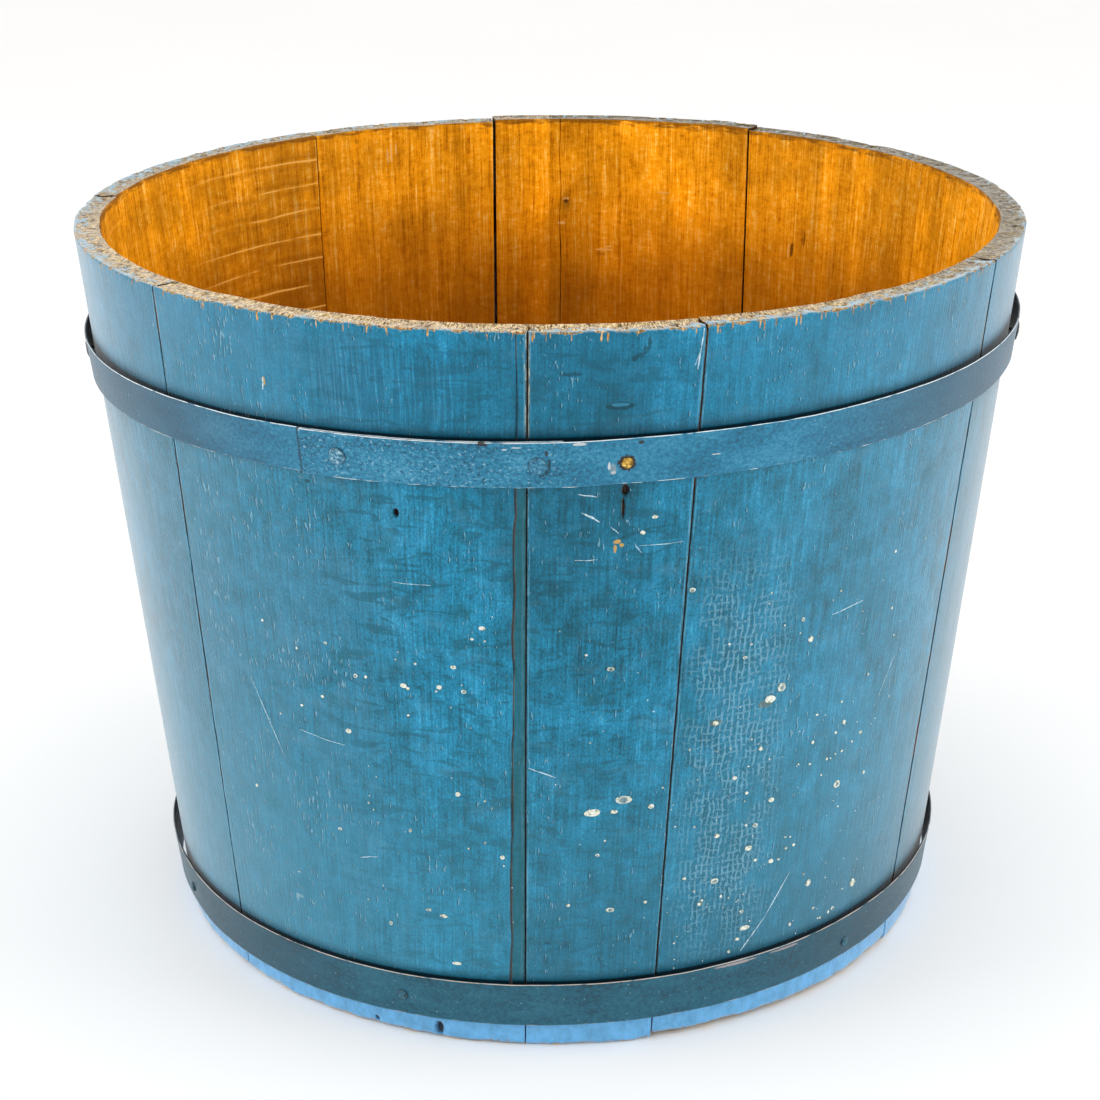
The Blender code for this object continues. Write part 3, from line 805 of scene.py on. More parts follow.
def face_relief(name, number, face, across, width, heights, azimuths):
    """How far the long face of a stave lies behind its true surface, and how dark it is."""
    seed = 100 * number + (20 if face == "outer" else 40)
    across = across[:, None]
    from_edge = np.minimum(across, width - across)
    relief = 0.00012 * (1 + noise((0.030, 0.150), seed, across, heights))
    relief += 0.00003 * (1 + noise((0.0026, 0.080), seed + 1, across, heights))
    worn_edge = 0.55 * noise(0.011, seed + 2, heights) + 0.4 * noise(0.003, seed + 3, heights)
    rounding = (0.0005 if face == "outer" else 0.0003) * (1 + worn_edge)
    inside_edge = np.clip(rounding - from_edge, 0, None)
    relief += rounding - np.sqrt(np.clip(rounding**2 - inside_edge**2, 0, None))
    # dark: how much painted shade the crack and the holes get
    dark = np.zeros_like(relief)
    if face == "outer":
        left, right = FACE_LEAN[number]
        share = across / width
        relief += 0.001 * (left * (1 - share) ** 2 + right * share**2)
    if face == "inner" and name in CHATTERED:
        relief += 0.00022 * CHATTERED[name] * (heights / CHATTER_STEP % 1.0)
    crack = CRACKS.get(name)
    if crack and crack.face == face:
        aside = np.abs(across - crack.rim * width) / (0.5 * crack.width)
        reach = ramp(heights, crack.low, crack.low + 0.01) * (1 - 0.55 * ramp(heights, 0.246, 0.256))
        widening = 0.75 + 0.45 * noise(0.012, seed + 5, heights)
        shape = np.clip(1 - aside / widening, 0, 1) * reach
        relief += crack.depth * shape
        dark = np.maximum(dark, ramp(shape, 0.15, 0.75))
    for hollow in HOLLOWS.get(name, ()):
        if hollow.face == face:
            side = np.radians(away_from(azimuths, hollow.azimuth)) * outer_radius(hollow.height)
            span = np.hypot(side / hollow.across, (heights - hollow.height) / hollow.along)
            shape = ramp(1.25 - span, 0.0, 0.8)
            relief += hollow.depth * shape
            dark = np.maximum(dark, hollow.dark * ramp(shape, 0.1, 0.6))
    return relief, dark


def stave_shares(name, width, sides):
    """Shares of the way across a stave of all its columns, closer together near its holes."""
    places = column_places(name, width)
    for hollow in HOLLOWS.get(name, ()):
        start, end = (np.polyval(side, hollow.height) for side in sides[:2])
        share = away_from(hollow.azimuth, start) / (end - start)
        places += list(share + np.linspace(-1.2, 1.2, 7) * hollow.across / width)
    shares = tidy_places(places, 0.00006 / width)
    shares[0], shares[-1] = 0.0, 1.0
    return shares


def stave_paint(number, kind_outer, is_rim, depth, height, foot, rim):
    """How painted each point of a stave is: above a half is painted, below it bare."""
    from_rim = (rim - height) - np.clip(depth, 0, WALL)
    paint_outer = 0.5 + np.clip(from_rim / 0.0045, -0.5, 2.0)
    remnant = RIM_PAINT[number] + 0.22 * (1 - 2 * np.clip(depth / WALL, 0, 1))
    paint = np.where(kind_outer > 0, paint_outer, 0.0)
    paint = np.where(is_rim > 0, np.maximum(remnant, np.clip(paint_outer, 0, 0.9)), paint)
    foot_paint = 0.45 + np.clip((height - foot) / 0.003, 0, 2.0)
    paint = np.where((kind_outer > 0) & (height < foot + 0.006), foot_paint, paint)
    return np.where((kind_outer == 0) & (is_rim == 0), -0.6, paint)


def stave_marks(name, shares, width, azimuth, height, kind_outer):
    """How deep the tool marks are at each point of a stave, and how stained it is."""
    chatter = np.zeros_like(height)
    stain = np.zeros_like(height)
    if name in CHATTERED:
        fading = 1 - ramp(shares * width, 0.30 * width, 0.62 * width)[:, None]
        chatter = CHATTERED[name] * fading + chatter
    if name == KNOTTED:
        aside = away_from(azimuth, KNOT_AZIMUTH) / 0.7
        spot = np.hypot(aside, (height - KNOT_HEIGHT) / 0.0030)
        stain = 0.6 * ramp(1.6 - spot, 0, 1) * (1 - kind_outer)
    crack = CRACKS.get(name)
    if crack and crack.face == "outer":
        beyond = ramp(shares, crack.rim - 0.004, crack.rim + 0.002)[:, None]
        stain = beyond * ramp(height, 0.26, 0.24)
    return chatter, stain


def joint_grid(border, start, rows, loop, total):
    """A grid of points over one end of a stave's tube, and the new points inside it."""
    inner_rows, inner_columns = rows - 2, RIM_COLUMNS - 2
    grid = np.zeros((rows, RIM_COLUMNS), int)
    grid[:, 0] = start + np.arange(rows)
    grid[-1, 1:-1] = start + rows + np.arange(inner_columns)
    grid[:, -1] = start + rows + inner_columns + np.arange(rows)[::-1]
    grid[0, 1:-1] = start + loop - 1 - np.arange(inner_columns)
    share = np.linspace(0, 1, RIM_COLUMNS)[None, 1:-1, None]
    rise = np.linspace(0, 1, rows)[1:-1, None, None]
    left, right = border[grid[1:-1, 0]][:, None], border[grid[1:-1, -1]][:, None]
    lower, upper = border[grid[0, 1:-1]][None], border[grid[-1, 1:-1]][None]
    flat_low = border[grid[0, 0]] * (1 - share) + border[grid[0, -1]] * share
    flat_high = border[grid[-1, 0]] * (1 - share) + border[grid[-1, -1]] * share
    near_low = np.clip(1 - rise * rows / 4, 0, 1)
    near_high = np.clip(1 - (1 - rise) * rows / 4, 0, 1)
    filled = left * (1 - share) + right * share
    filled = filled + (lower - flat_low) * near_low + (upper - flat_high) * near_high
    new = np.arange(inner_rows * inner_columns)
    grid[1:-1, 1:-1] = total + new.reshape(inner_rows, inner_columns)
    return grid, filled.reshape(-1, 3)


def grid_faces(grid, flip):
    """Quads over a grid of points."""
    faces = []
    for lower, upper in zip(grid[:-1].tolist(), grid[1:].tolist()):
        for step in range(RIM_COLUMNS - 1):
            face = (lower[step], lower[step + 1], upper[step + 1], upper[step])
            faces.append(face[::-1] if flip else face)
    return faces


def stave_azimuths(number, sides, width, shares, depth, height):
    """Where a stave's columns run: straight from its left joint to its right one."""
    inward = np.clip(depth / WALL, 0, 1)
    left = np.polyval(sides[0], height) * (1 - inward) + np.polyval(sides[2], height) * inward
    right = np.polyval(sides[1], height) * (1 - inward) + np.polyval(sides[3], height) * inward
    share = shares[:, None]
    crack = CRACKS.get(f"stave_{number + 1:02d}")
    if crack:
        drift = (crack.foot - crack.rim) * (1 - height / HEIGHT)
        drift = drift + 0.0004 / width * noise(0.017, number, height)
        drift = drift + 0.0002 / width * noise(0.0050, number + 50, height)
        share = share + drift * np.minimum(share / crack.rim, (1 - share) / (1 - crack.rim))
    return left + (right - left) * share


def across_wall(faces, row):
    """Values between a row's outer point and its inner one, at the rim or the foot."""
    share = np.linspace(0, 1, RIM_COLUMNS)[None, 1:-1]
    start, end = faces["outer"][:, row, None], faces["inner"][:, row, None]
    return start + (end - start) * share


def end_relief(number, across, rim_depth, foot_depth):
    """How far the end grain dips below the rim, and how far it rises above the foot."""
    seed = 100 * number + 60
    bumps = noise((0.0011, 0.0022), seed, across, rim_depth)
    bumps = bumps + 0.8 * noise((0.0035, 0.0040), seed + 1, across, rim_depth)
    soft_ends = np.sin(np.pi * np.linspace(0, 1, RIM_COLUMNS)[None, 1:-1]) ** 0.5
    foot_bumps = noise((0.002, 0.003), seed + 2, across, foot_depth)
    return 0.00045 * (bumps + 1.2) * soft_ends, 0.0002 * (1 + foot_bumps)


def round_loop(faces, at_rim, at_foot):
    """Values up the outer face, in across the rim, down the inner face, out at the foot."""
    return np.hstack([faces["outer"], at_rim, faces["inner"][:, ::-1], at_foot[:, ::-1]])


def build_stave(number, materials):
    """One stave in detail: a closed tube of sections across it, capped at its joints."""
    name = f"stave_{number + 1:02d}"
    sides = stave_sides(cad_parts[name])
    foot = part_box(name)[0].z
    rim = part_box(name)[1].z
    width = math.radians(np.polyval(sides[1], rim) - np.polyval(sides[0], rim)) * RIM_RADIUS
    shares = stave_shares(name, width, sides)
    across = shares * width
    depths, heights = stave_section(name, number, foot, rim, across)

    def azimuth_at(depth, height):
        return stave_azimuths(number, sides, width, shares, depth, height)

    dark = {}
    for face, sign in (("outer", 1), ("inner", -1)):
        azimuths = azimuth_at(depths[face], heights[face])
        relief, dark[face] = face_relief(name, number, face, across, width, heights[face], azimuths)
        depths[face] = depths[face] + sign * relief

    rim_depth, foot_depth = across_wall(depths, -1), across_wall(depths, 0)
    rim_height, foot_height = across_wall(heights, -1), across_wall(heights, 0)
    rim_dips, foot_rises = end_relief(number, across[:, None], rim_depth, foot_depth)
    depth = round_loop(depths, rim_depth, foot_depth)
    height = round_loop(heights, rim_height - rim_dips, foot_height + foot_rises)
    hollow = round_loop(dark, np.zeros_like(rim_depth), np.zeros_like(rim_depth))
    rows = depths["outer"].shape[1]
    columns, loop = depth.shape
    azimuth = azimuth_at(depth, height)
    from_edge = np.minimum(across, width - across)[:, None] + 0 * depth

    kind_outer = np.zeros(loop)
    kind_outer[:rows] = 1
    is_rim = np.zeros(loop)
    is_rim[rows - 3 : rows + RIM_COLUMNS + 1] = 1
    is_foot = np.zeros(loop)
    is_foot[:3] = 1
    is_foot[-(RIM_COLUMNS - 2) :] = 1
    near_rim = 0.6 * kind_outer * (height > rim - 0.006)
    paint = stave_paint(number, kind_outer, is_rim, depth, height, foot, rim)
    chatter, stain = stave_marks(name, shares, width, azimuth, height, kind_outer)
    along_grain = across[:, None] + GRAIN_SHIFT * number + 0 * depth

    points = [on_tub(azimuth, outer_radius(height) - depth, height).reshape(-1, 3)]
    data = {
        "grain": [np.stack([along_grain, height, depth], -1).reshape(-1, 3)],
        "paint": [paint.ravel()],
        "end": [np.maximum(np.maximum(is_rim, is_foot), near_rim).ravel()],
        "hollow": [hollow.ravel()],
        "edge": [(np.exp(-from_edge / 0.0019) * kind_outer).ravel()],
        "tone": [np.full(depth.size, TONES[number])],
        "chatter": [chatter.ravel()],
        "chatter_phase": [(height / CHATTER_STEP).ravel()],
        "stain": [stain.ravel()],
    }

    faces = [face[::-1] for face in swept_faces(columns, loop)]
    on_inside = np.zeros(loop, int)
    on_inside[rows + RIM_COLUMNS : 2 * rows + RIM_COLUMNS - 6] = 1
    slots = list(np.tile(on_inside, columns - 1))
    total = columns * loop
    for column, flip in ((0, True), (columns - 1, False)):
        grid, flat = joint_grid(points[0], column * loop, rows, loop, total)
        points.append(flat)
        total += len(flat)
        inward = outer_radius(flat[:, 2]) - np.hypot(flat[:, 0], flat[:, 1])
        grain = np.stack([GRAIN_SHIFT * number + inward, flat[:, 2], inward], -1)
        data["grain"].append(grain)
        data["paint"].append(0.6 - inward / 0.0015)
        for key, value in JOINT_FACE.items():
            data[key].append(np.full(len(flat), value))
        caps = grid_faces(grid, flip)
        faces += caps
        slots += [1] * len(caps)

    attributes = {key: np.concatenate(values) for key, values in data.items()}
    points = np.concatenate(points)
    piece = new_piece(name + "_worn", points, faces, materials, 40.0, slots, **attributes)
    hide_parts(name)


# --- hoops --------------------------------------------------------------------------

# How finely a hoop's strip is divided: millimetres from its ends, metres along it, and
# shares of its width from its middle
HOOP_END_COLUMNS = (0.0, 0.2, 0.5, 0.9, 1.4, 2.0)
HOOP_COLUMN_STEP = 0.0019
HOOP_ROWS = (0.5, 0.496, 0.488, 0.475, 0.45, 0.42, 0.37, 0.30, 0.20, 0.10, 0.0)
HOOP_CORNER = 0.0016


def hoop_material(name, outer_end, spots, dark, middle, light, wear, shaded_side_colour):
    """Painted sheet iron: mottled and pitted, its edges worn to pale metal."""
    shader = Shader(name)
    strip = shader.vector("strip")
    edge = shader.number("edge")
    cloud = strip.noise((0.03, 0.012, 1.0), 3.0, 0.6, 2.0)
    mottle = strip.noise((0.0016, 0.0014, 1.0), 4.0, 0.7, 5.0)
    lap = shader.number("lap")
    contrast = shader.blend_numbers(lap, 0.45, 0.62)
    value = cloud * 0.3 + (mottle - 0.5) * contrast + 0.35
    colour = value.colours((0.38, dark), (0.5, middle), (0.66, light))
    place = shader.place()
    # Painted shade: darker towards the hoop's sides, away from the front.
    side = abs(place[2]).step(0.38, 0.85)
    colour = colour.mix(side * 0.72, shaded_side_colour)
    pits = strip.noise((0.0016, 0.0016, 1.0), 2.0, 0.6, 9.0)
    pitted = (pits + lap * 0.05).step(0.69, 0.74)
    colour = colour.mix(pitted * 0.75, (0.004, 0.022, 0.032))
    flakes = strip.noise((0.0014, 0.0012, 1.0), 2.0, 0.6, 11.0)
    flaked = (flakes + lap * 0.09).step(0.7, 0.75)
    colour = colour.mix(flaked * 0.65, (0.23, 0.44, 0.56))
    rust_noise = strip.noise((0.006, 0.003, 1.0), 3.0, 0.7, 13.0)
    rust = (rust_noise + edge * 0.1).step(0.8, 0.84)
    colour = colour.mix(rust, (0.085, 0.028, 0.01))
    rub = strip.noise((0.008, 0.0006, 1.0), 3.0, 0.7, 15.0)
    rubbed = (edge * 0.62 + rub * 0.6).step(0.84, 0.9)
    colour = colour.mix(rubbed * 0.95, wear)
    ragged = strip.noise((0.0014, 0.0012, 1.0), 3.0, 0.6, 17.0)
    colour = colour.spots(place, ragged, spots)
    # Painted shadow: a dark line on the strip just beside the end of the lap.
    lap_end_shadow = place[0].band(outer_end - 0.1, 0.16, 0.14)
    colour = colour.mix(lap_end_shadow * 0.8, (0.001, 0.018, 0.03))
    colour = colour.mix(shader.number("shadow") * 0.95, (0.002, 0.006, 0.009))
    normal = (mottle * 0.7 + pitted * -0.3).bump(0.00025)
    rough = mottle.step(0.3, 0.7, 0.32, 0.48)
    return shader.finish(colour, rough, normal, IOR=1.40, Sheen_Weight=0.06, Sheen_Roughness=0.35)


def hoop_stand_off(hoop, azimuth, above):
    """Distance from the staves to a hoop's inner face, with its small dents."""
    stand_off = GAP + HOOP_FLARE * (above / hoop.width + 0.5)
    for slack in hoop.slack:
        away = away_from(azimuth, slack.azimuth)
        stand_off = stand_off + slack.distance * np.exp(-((away / slack.spread) ** 2))
    place = on_tub(azimuth, outer_radius(hoop.middle), above)
    dents = noise((0.022, 0.022, 0.012), len(hoop.name), *np.moveaxis(place, -1, 0))
    return stand_off + 0.00016 * (1 + dents)


def build_hoop(hoop, material):
    """A hoop's strip with its dents, its worn edges and its rounded outer end."""
    lap = (hoop.inner_end - hoop.outer_end) % 360
    sweep = 360 + lap
    length = math.radians(sweep) * outer_radius(hoop.middle)
    seed = 7 if hoop.name == "top_hoop" else 8
    near_end = np.array(HOOP_END_COLUMNS) / 1000
    middle = np.linspace(near_end[-1], length - near_end[-1], int(length / HOOP_COLUMN_STEP))
    along = np.concatenate([near_end[:-1], middle, (length - near_end[:-1])[::-1]])
    turned = along / length * sweep
    azimuth = (hoop.inner_end - turned)[:, None]
    climb = ramp(turned - 360, -LAP_CLIMB, 0.0)[:, None]
    lap_lift = climb * (HOOP_THICKNESS + GAP)
    across = np.array(HOOP_ROWS)
    across = np.concatenate([-across, across[-2::-1]])[None, :]
    into_corner = np.clip(HOOP_CORNER - np.minimum(along, length - along), 0, None)
    short = HOOP_CORNER - np.sqrt(np.clip(HOOP_CORNER**2 - into_corner**2, 0, None))
    half = hoop.width / 2 - short[:, None]
    wave = 0.00012 * noise(0.040, seed, along) + 0.00006 * noise(0.006, seed + 20, along)
    above = 2 * across * (half + wave[:, None])
    tilt = hoop.tilt * np.sin(np.radians(azimuth))
    height = hoop.middle + tilt + above
    base = hoop_stand_off(hoop, azimuth, above) + lap_lift
    edge_round = 0.00022 * ramp(np.abs(across), 0.475, 0.5)
    inner = on_tub(azimuth, outer_radius(height) + base + edge_round, height)
    outer = on_tub(azimuth, outer_radius(height) + base + HOOP_THICKNESS - edge_round, height)
    points = np.concatenate([outer, inner[:, ::-1]], axis=1)
    columns, loop = points.shape[:2]
    line = across.shape[1]

    strip_across = np.concatenate([above, above[:, ::-1]], axis=1)
    strip_along = along[:, None] + 0 * strip_across
    strip = np.stack([strip_along, strip_across, np.full_like(strip_across, seed * 1.7)], -1)
    both = np.concatenate([across, across[:, ::-1]], axis=1)
    behind = np.arange(loop)[None, :] >= line
    edge = ramp(np.abs(both) * 2, 0.938, 0.974) * np.where(both > 0, 1.0, 0.86) * ~behind
    edge = np.broadcast_to(edge, (columns, loop)).copy()
    shadow = np.broadcast_to(1.0 * behind, (columns, loop))
    outer_end = ramp(along, length - 0.0010, length)[:, None]
    edge = np.maximum(edge, 0.85 * outer_end)
    in_lap = ramp(turned, 360 - 6, 360 + 3)[:, None] + 0 * edge

    faces = swept_faces(columns, loop)
    for column, flip in ((0, True), (columns - 1, False)):
        start = column * loop
        for step in range(line - 1):
            face = (start + step, start + step + 1, start + loop - 2 - step, start + loop - 1 - step)
            faces.append(face[::-1] if flip else face)
    piece = new_piece(
        hoop.name + "_worn",
        points.reshape(-1, 3),
        faces,
        [material],
        50.0,
        strip=strip.reshape(-1, 3),
        edge=edge.ravel(),
        lap=in_lap.ravel(),
        shadow=shadow.ravel(),
    )
    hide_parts(hoop.name)


# --- rivets and nails ---------------------------------------------------------------


def fastener_frame(node):
    """A CAD fastener's axis: the middle of its head's face, its outward turn and its size."""
    points = np.array([vert.co for vert in node.data.vertices])
    middle = points.mean(axis=0)
    outward = Vector((middle[0], middle[1], -SPLAY * math.hypot(middle[0], middle[1]))).normalized()
    along = points @ np.array(outward)
    axis_point = Vector(points[np.argmax(along)])
    aside = points - np.array(axis_point)
    aside = aside - np.outer(aside @ np.array(outward), np.array(outward))
    head_radius = np.linalg.norm(aside, axis=1).max()
    rim_height = along[np.linalg.norm(aside, axis=1) > 0.98 * head_radius].mean()
    head_height = along.max() - rim_height
    turn = outward.to_track_quat("Z", "Y").to_matrix().to_4x4()
    place = Matrix.Translation(axis_point - outward * head_height) @ turn
    return place, head_radius, head_height, along.max() - along.min()


def build_fastener(name, material, hammered=0.10):
    """A rivet or nail with a hammered head, on the axis of its CAD node."""
    place, head_radius, head_height, length = fastener_frame(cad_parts[name])
    shank = 0.0016 if "rivet" in name else 0.0009
    seed = sum(map(ord, name))
    reach = length - head_height
    outline = []
    for turn in np.radians(np.linspace(4, 90, 12)):
        outline.append((head_radius * math.sin(turn), head_height * math.cos(turn) ** 1.3))
    outline += [(head_radius * 0.97, -0.0001), (shank, -0.0001)]
    outline += [(shank, -0.8 * reach), (shank * 0.4, -reach)]
    sides = 40
    turns = np.linspace(0, 2 * math.pi, sides, endpoint=False)
    rings = []
    for radius, height in outline:
        on_head = radius > shank * 1.5
        wobble = 1 + 0.035 * noise(1.0, seed, 3 * np.cos(turns), 3 * np.sin(turns)) * on_head
        dents = noise(0.45 * head_radius, seed + 1, radius * np.cos(turns), radius * np.sin(turns))
        lifted = height + hammered * head_height * dents * (height > 0)
        aside, over = radius * wobble * np.cos(turns), radius * wobble * np.sin(turns)
        rings.append(np.stack([aside, over, lifted], -1))
    top = np.array([[0, 0, head_height]])
    tip = np.array([[0, 0, outline[-1][1]]])
    local = np.concatenate([*rings, top, tip])
    points = local @ np.array(place.to_3x3()).T + np.array(place.translation)
    faces = [(a, d, c, b) for a, b, c, d in swept_faces(len(outline), sides)]
    last = (len(outline) - 1) * sides
    for side in range(sides):
        following = (side + 1) % sides
        faces.append((len(local) - 2, side, following))
        faces.append((len(local) - 1, last + following, last + side))
    facing = np.repeat([radius / head_radius for radius, _ in outline], sides)
    edge = np.concatenate([facing, [0.0, 0.0]])
    piece = new_piece(name + "_hammered", points, faces, [material], 60.0, grain=local, edge=edge)
    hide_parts(name)


def fastener_material(name, dark, middle, light, metallic):
    """Painted or bare iron of a rivet or nail: mottled, darker round its rim."""
    shader = Shader(name)
    grain = shader.vector("grain")
    mottle = grain.noise((0.0012, 0.0012, 0.0012), 4.0, 0.7, 3.0)
    colour = mottle.colours((0.36, dark), (0.5, middle), (0.66, light))
    rim = shader.number("edge").step(0.8, 1.0)
    colour = colour.mix(rim * 0.7, dark)
    normal = mottle.bump(0.0002)
    rough = mottle.step(0.3, 0.7, 0.3, 0.55)
    return shader.finish(colour, rough, normal, Metallic=metallic)


# --- splashes and scratches ---------------------------------------------------------

# How big splashes and scratches come out beside the sizes in their lists
SPLASH_SCALE = 0.76
SCRATCH_SCALE = 1.20

# A splash's rings from its middle out: share of its radius, and height by its thickness
SPLASH_RINGS = ((0.0, 0.30), (0.40, 0.40), (0.72, 1.0), (0.92, 0.75), (1.0, 0.0), (0.9, -1.6))
SPLASH_SIDES = 18
SCRATCH_STEPS = 14

# Splashes of cream paint: azimuth, height, half width and half height in millimetres.
Splash = namedtuple("Splash", "azimuth height across along")
SPLASHES = (
    Splash(4.8, 0.110, 4.0, 2.0),
    Splash(8.6, 0.115, 4.2, 2.2),
    Splash(12.1, 0.111, 1.7, 1.3),
    Splash(7.5, 0.110, 1.9, 1.1),
    Splash(28.5, 0.154, 2.3, 2.3),
    Splash(27.0, 0.150, 3.0, 2.0),
    Splash(19.8, 0.144, 1.6, 1.2),
    Splash(15.9, 0.202, 1.5, 1.2),
    Splash(11.2, 0.233, 1.5, 1.0),
    Splash(9.9, 0.227, 1.2, 1.2),
    Splash(6.7, 0.172, 1.8, 1.2),
    Splash(28.6, 0.104, 1.6, 1.3),
    Splash(32.1, 0.172, 1.6, 1.6),
    Splash(26.5, 0.094, 1.4, 1.2),
    Splash(21.1, 0.093, 1.5, 1.2),
    Splash(25.8, 0.084, 2.0, 1.4),
    Splash(21.2, 0.072, 2.2, 1.5),
    Splash(29.5, 0.075, 1.5, 1.3),
    Splash(36.4, 0.058, 1.6, 2.2),
    Splash(39.5, 0.101, 2.1, 2.1),
    Splash(45.8, 0.047, 2.0, 2.4),
    Splash(26.3, 0.046, 3.0, 1.3),
    Splash(7.3, 0.065, 2.2, 1.3),
    Splash(1.9, 0.068, 1.0, 0.8),
    Splash(-11.6, 0.117, 1.3, 1.3),
    Splash(-16.3, 0.062, 1.6, 0.8),
    Splash(-14.3, 0.060, 2.0, 1.0),
    Splash(-12.9, 0.038, 2.6, 0.9),
    Splash(-28.1, 0.092, 1.2, 0.8),
    Splash(-7.9, 0.189, 1.7, 1.1),
    Splash(-11.4, 0.172, 1.5, 1.0),
    Splash(-10.3, 0.162, 1.3, 1.1),
    Splash(-17.6, 0.162, 1.8, 1.2),
    Splash(-13.2, 0.163, 1.4, 1.2),
    Splash(-23.7, 0.163, 1.2, 1.0),
    Splash(-25.4, 0.138, 1.7, 1.2),
)

# Zones where small splashes are scattered: azimuths, heights and how many.
Zone = namedtuple("Zone", "start end low high count")
SPLASH_ZONES = (
    Zone(16, 50, 0.030, 0.140, 110),
    Zone(18, 52, 0.130, 0.200, 28),
    Zone(0, 16, 0.035, 0.190, 24),
    Zone(-24, -4, 0.045, 0.200, 34),
    Zone(-42, -22, 0.050, 0.180, 14),
    Zone(60, 300, 0.040, 0.200, 40),
)

# Scratches: azimuths and heights of their ends, their width in millimetres.
Scratch = namedtuple("Scratch", "start low end high width")
SCRATCHES = (
    Scratch(32.9, 0.067, 29.5, 0.049, 0.5),
    Scratch(29.5, 0.049, 26.0, 0.035, 0.4),
    Scratch(35.0, 0.180, 40.0, 0.182, 0.4),
    Scratch(-32.7, 0.133, -26.1, 0.131, 0.22),
    Scratch(-2.9, 0.130, 0.4, 0.126, 0.35),
    Scratch(-25.5, 0.081, -22.9, 0.083, 0.35),
    Scratch(3.2, 0.236, 5.2, 0.232, 0.9),
    Scratch(6.4, 0.230, 7.3, 0.227, 0.6),
    Scratch(9.0, 0.223, 9.8, 0.219, 0.5),
    Scratch(9.6, 0.222, 14.6, 0.222, 0.3),
    Scratch(2.5, 0.217, 5.0, 0.217, 0.25),
    Scratch(2.8, 0.243, 5.0, 0.242, 0.5),
    Scratch(15.6, 0.303, 15.1, 0.288, 0.9),
    Scratch(15.4, 0.296, 14.8, 0.290, 0.5),
    Scratch(-32.0, 0.279, -32.2, 0.274, 0.8),
    Scratch(-40.0, 0.150, -36.0, 0.120, 0.18),
    Scratch(-18.0, 0.205, -13.5, 0.205, 0.22),
    Scratch(45.0, 0.130, 48.0, 0.150, 0.3),
)


def face_frame(azimuth, height):
    """A point on the staves' outer face, and its directions across, up and out."""
    turn = math.radians(azimuth)
    origin = Vector(on_tub(azimuth, outer_radius(height), height))
    across = Vector((math.cos(turn), math.sin(turn), 0.0))
    out = Vector((math.sin(turn), -math.cos(turn), -SPLAY)).normalized()
    return origin, across, out.cross(across), out


def splash_points(splash, seed):
    """A thick drop with an irregular outline and a hollow in the middle, closed behind."""
    sides = SPLASH_SIDES
    turns = np.linspace(0, 2 * math.pi, sides, endpoint=False)
    outline = 1 + 0.16 * noise(0.9, seed, 1.5 * np.cos(turns), 1.5 * np.sin(turns), float(seed))
    size = min(splash.across, splash.along) / 1000
    thickness = min(0.25 * size, 0.00035)
    origin, across, up, out = face_frame(splash.azimuth, splash.height)
    points = []
    for share, rise in SPLASH_RINGS:
        for turn, bulge in zip(turns, outline):
            aside = SPLASH_SCALE * share * bulge * splash.across / 1000 * math.cos(turn)
            over = SPLASH_SCALE * share * bulge * splash.along / 1000 * math.sin(turn)
            points.append(origin + across * aside + up * over + out * (rise * thickness))
            if share == 0.0:
                break
    points.append(origin - out * (1.6 * thickness))
    faces = []
    for side in range(sides):
        following = (side + 1) % sides
        faces.append((0, 1 + side, 1 + following))
        for low in range(1, 1 + (len(SPLASH_RINGS) - 2) * sides, sides):
            faces.append((low + side, low + sides + side, low + sides + following, low + following))
        last = 1 + (len(SPLASH_RINGS) - 2) * sides
        faces.append((len(points) - 1, last + following, last + side))
    return points, faces


def scratch_points(scratch, seed):
    """A thin raised sliver of paint, tapered to both ends."""
    steps = SCRATCH_STEPS
    points, faces = [], []
    for step in range(steps + 1):
        share = step / steps
        azimuth = scratch.start + (scratch.end - scratch.start) * share
        height = scratch.low + (scratch.high - scratch.low) * share
        height += 0.0002 * float(noise(0.3, seed, np.array(share)))
        swell = math.sin(math.pi * min(max(share, 0.03), 0.97)) ** 0.6
        swell *= 0.75 + 0.5 * float(noise(0.12, seed + 1, np.array(share)))
        origin, across, up, out = face_frame(azimuth, height)
        run = math.radians(scratch.end - scratch.start) * RIM_RADIUS
        climb = scratch.high - scratch.low
        length = math.hypot(run, climb)
        aside = (across * -climb + up * run) / length
        half = max(swell, 0.05) * scratch.width * SCRATCH_SCALE / 2000
        sunk, raised = out * 0.0004, out * 0.00006
        points += [origin + aside * half - sunk, origin + aside * half * 0.6 + raised]
        points += [origin - aside * half * 0.6 + raised, origin - aside * half - sunk]
    faces += swept_faces(steps + 1, 4)
    faces.append((3, 2, 1, 0))
    faces.append((4 * steps, 4 * steps + 1, 4 * steps + 2, 4 * steps + 3))
    return points, faces


def build_marks(name, shapes, material, worn_through):
    """Many small closed shapes as one piece; some may be worn through in the middle."""
    points, faces, hollow = [], [], []
    for number, (shape_points, shape_faces) in enumerate(shapes):
        start = len(points)
        points += shape_points
        faces += [tuple(start + point for point in face) for face in shape_faces]
        middle = sum(shape_points, Vector()) / len(shape_points)
        away = np.array([(point - middle).length for point in shape_points])
        open_middle = 1.0 if worn_through and number % 3 == 1 else 0.0
        hollow.append(open_middle * (1 - ramp(away / away.max(), 0.35, 0.62)))
    points = np.array(points)
    hollow = np.concatenate(hollow)
    piece = new_piece(name, points, faces, [material], 60.0, grain=points, hollow=hollow)


def cream_paint_material(name, light, middle, dark):
    shader = Shader(name)
    grain = shader.vector("grain")
    mottle = grain.noise((0.0012, 0.0012, 0.0012), 3.0, 0.7, 3.0)
    colour = mottle.colours((0.36, dark), (0.46, middle), (0.56, light))
    colour = colour.mix(shader.number("hollow") * 0.8, (0.02, 0.13, 0.19))
    return shader.finish(colour, mottle.step(0.3, 0.7, 0.4, 0.6), mottle.bump(0.0002))


